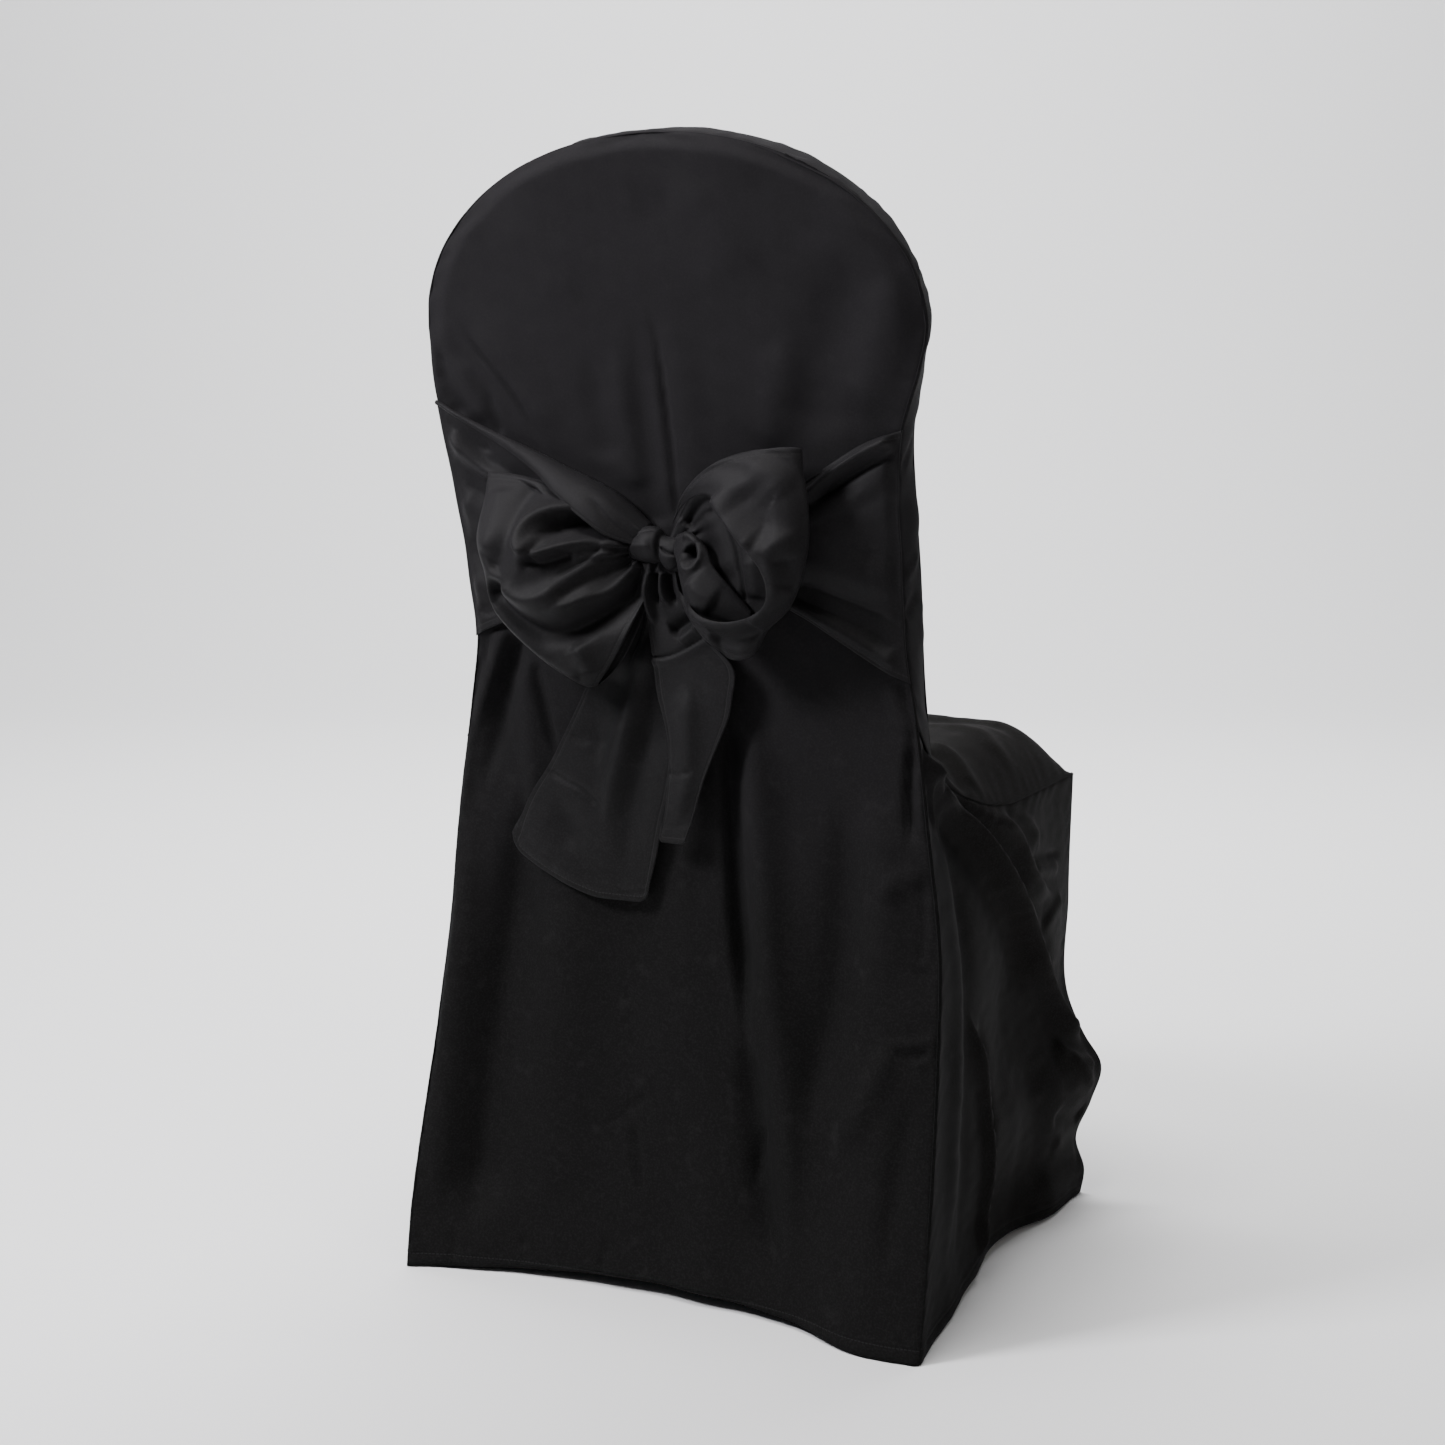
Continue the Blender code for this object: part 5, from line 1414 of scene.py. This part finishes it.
def make_light(name, place, aim, size, power, colour):
    lamp = bpy.data.lights.new(name, "AREA")
    lamp.shape = "RECTANGLE"
    lamp.size, lamp.size_y = size
    lamp.energy = power
    lamp.color = colour
    light = bpy.data.objects.new(name, lamp)
    light.location = place
    light.rotation_euler = (Vector(aim) - Vector(place)).to_track_quat("-Z", "Y").to_euler()
    bpy.context.scene.collection.objects.link(light)


def make_stage():
    """A pale paper sweep: flat under the cover, then curved up behind it."""
    aside = np.array((math.cos(VIEW_YAW), math.sin(VIEW_YAW)))
    away = np.array((math.sin(VIEW_YAW), -math.cos(VIEW_YAW)))
    bm = bmesh.new()
    bmesh.ops.create_grid(bm, x_segments=2, y_segments=80, size=0.5)
    for vert in bm.verts:
        across, run = vert.co.x * SWEEP_WIDTH, (vert.co.y + 0.5) * SWEEP_LENGTH - SWEEP_NEAR
        turn = min(max((run - SWEEP_FLAT) / SWEEP_RADIUS, 0), math.pi / 2)
        straight = min(run, SWEEP_FLAT)
        wall = max(run - SWEEP_FLAT - SWEEP_RADIUS * math.pi / 2, 0)
        back = straight + SWEEP_RADIUS * math.sin(turn)
        spot = across * aside + back * away
        vert.co = (spot[0], spot[1], SWEEP_RADIUS * (1 - math.cos(turn)) + wall - 0.0005)
    bmesh.ops.recalc_face_normals(bm, faces=bm.faces[:])
    mesh = bpy.data.meshes.new("floor")
    bm.to_mesh(mesh)
    bm.free()
    mesh.shade_smooth()
    paper = bpy.data.materials.new("floor_paper")
    paper.use_nodes = True
    shader = paper.node_tree.nodes["Principled BSDF"]
    shader.inputs["Base Color"].default_value = (0.88, 0.88, 0.89, 1)
    shader.inputs["Roughness"].default_value = 0.9
    mesh.materials.append(paper)
    floor = bpy.data.objects.new("floor", mesh)
    bpy.context.scene.collection.objects.link(floor)
    world = bpy.data.worlds.new("studio")
    bpy.context.scene.world = world
    world.use_nodes = True
    world.node_tree.nodes["Background"].inputs[0].default_value = (0.93, 0.95, 1.0, 1)
    world.node_tree.nodes["Background"].inputs[1].default_value = 0.1
    make_light("key", (0.95, 1.15, 1.55), (0.0, 0.2, 0.78), (0.45, 0.45), 42, (0.98, 0.97, 1.0))
    make_light("above", (0.1, 0.55, 2.3), (0.0, 0.15, 0.8), (1.0, 0.8), 40, (1.0, 0.99, 0.98))
    make_light("side", (-1.9, 0.9, 1.5), (-0.15, 0.0, 0.4), (0.8, 1.2), 6, (1.0, 0.95, 0.88))
    lamp = away * 1.1
    wall = away * 4.0
    make_light("backdrop", (lamp[0], lamp[1], 2.9), (wall[0], wall[1], 0.5), (3.0, 1.0), 240,
               (1.0, 1.0, 1.0))


def dress(piece, node, material):
    piece.data.materials.append(material)
    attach(piece, "root")
    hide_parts(node)


def main():
    make_camera()
    make_stage()
    groups = (satin_weave_group(), stitch_group(), painted_light_and_wear_group())
    panel_satin = satin("cover_satin_cloth", groups, 0.7, 0.035, 1.0, 0.00048, 0.011)
    sash_satin = satin("sash_satin_cloth", groups, 0.52, 0.08, 0.84, 0.00042, 0.0045)

    rear = make_rear_panel()
    boxing = make_boxing_band()
    front = make_front_panel()
    seat = make_seat_panel()
    skirt_right = make_side_skirt("side_skirt_right_satin", -1, SIDE_CREASES_RIGHT, 41)
    skirt_left = make_side_skirt("side_skirt_left_satin", 1, SIDE_CREASES_LEFT, 43)
    skirt_front = make_front_skirt()
    tie_left = make_tie("sash_run_left_satin", left_tie_surface, False)
    tie_right = make_tie("sash_run_right_satin", right_tie_surface, True)
    loop_left = make_loop("bow_loop_left_satin", 1, loop_surface(
        1, BOW_LEFT, LOOP_LEFT, LOOP_CREASES_LEFT, [], 71), 0.32, 0.19)
    loop_right = make_loop("bow_loop_right_satin", -1, loop_surface(
        -1, BOW_RIGHT, LOOP_RIGHT, LOOP_CREASES_RIGHT, INNER_CREASES_RIGHT, 73), 0.26, 0.19)
    tail_left = make_tail("tail_left_satin", tail_surface(
        TAIL_LEFT, TAIL_LEFT_SLANT, TAIL_LEFT_CORNER, TAIL_CREASES_LEFT, 81), 0.13, 0.27)
    tail_right = make_tail("tail_right_satin", tail_surface(
        TAIL_RIGHT, 0.0, TAIL_RIGHT_CORNER, TAIL_CREASES_RIGHT, 83), 0.07, 0.22)
    tongue = make_tongue()
    knot = make_knot()

    for piece, node in ((rear, "rear_panel"), (boxing, "boxing_band"), (front, "front_panel"),
                        (seat, "seat_panel"), (skirt_right, "side_skirt_right"),
                        (skirt_left, "side_skirt_left"), (skirt_front, "front_skirt")):
        dress(piece, node, panel_satin)
    for piece, node in ((tie_left, "sash_run_left"), (tie_right, "sash_run_right"),
                        (loop_left, "bow_loop_left"), (loop_right, "bow_loop_right"),
                        (tongue, "bow_loop_right"),
                        (tail_left, "tail_left"), (tail_right, "tail_right"),
                        (knot, "bow_knot")):
        dress(piece, node, sash_satin)


main()
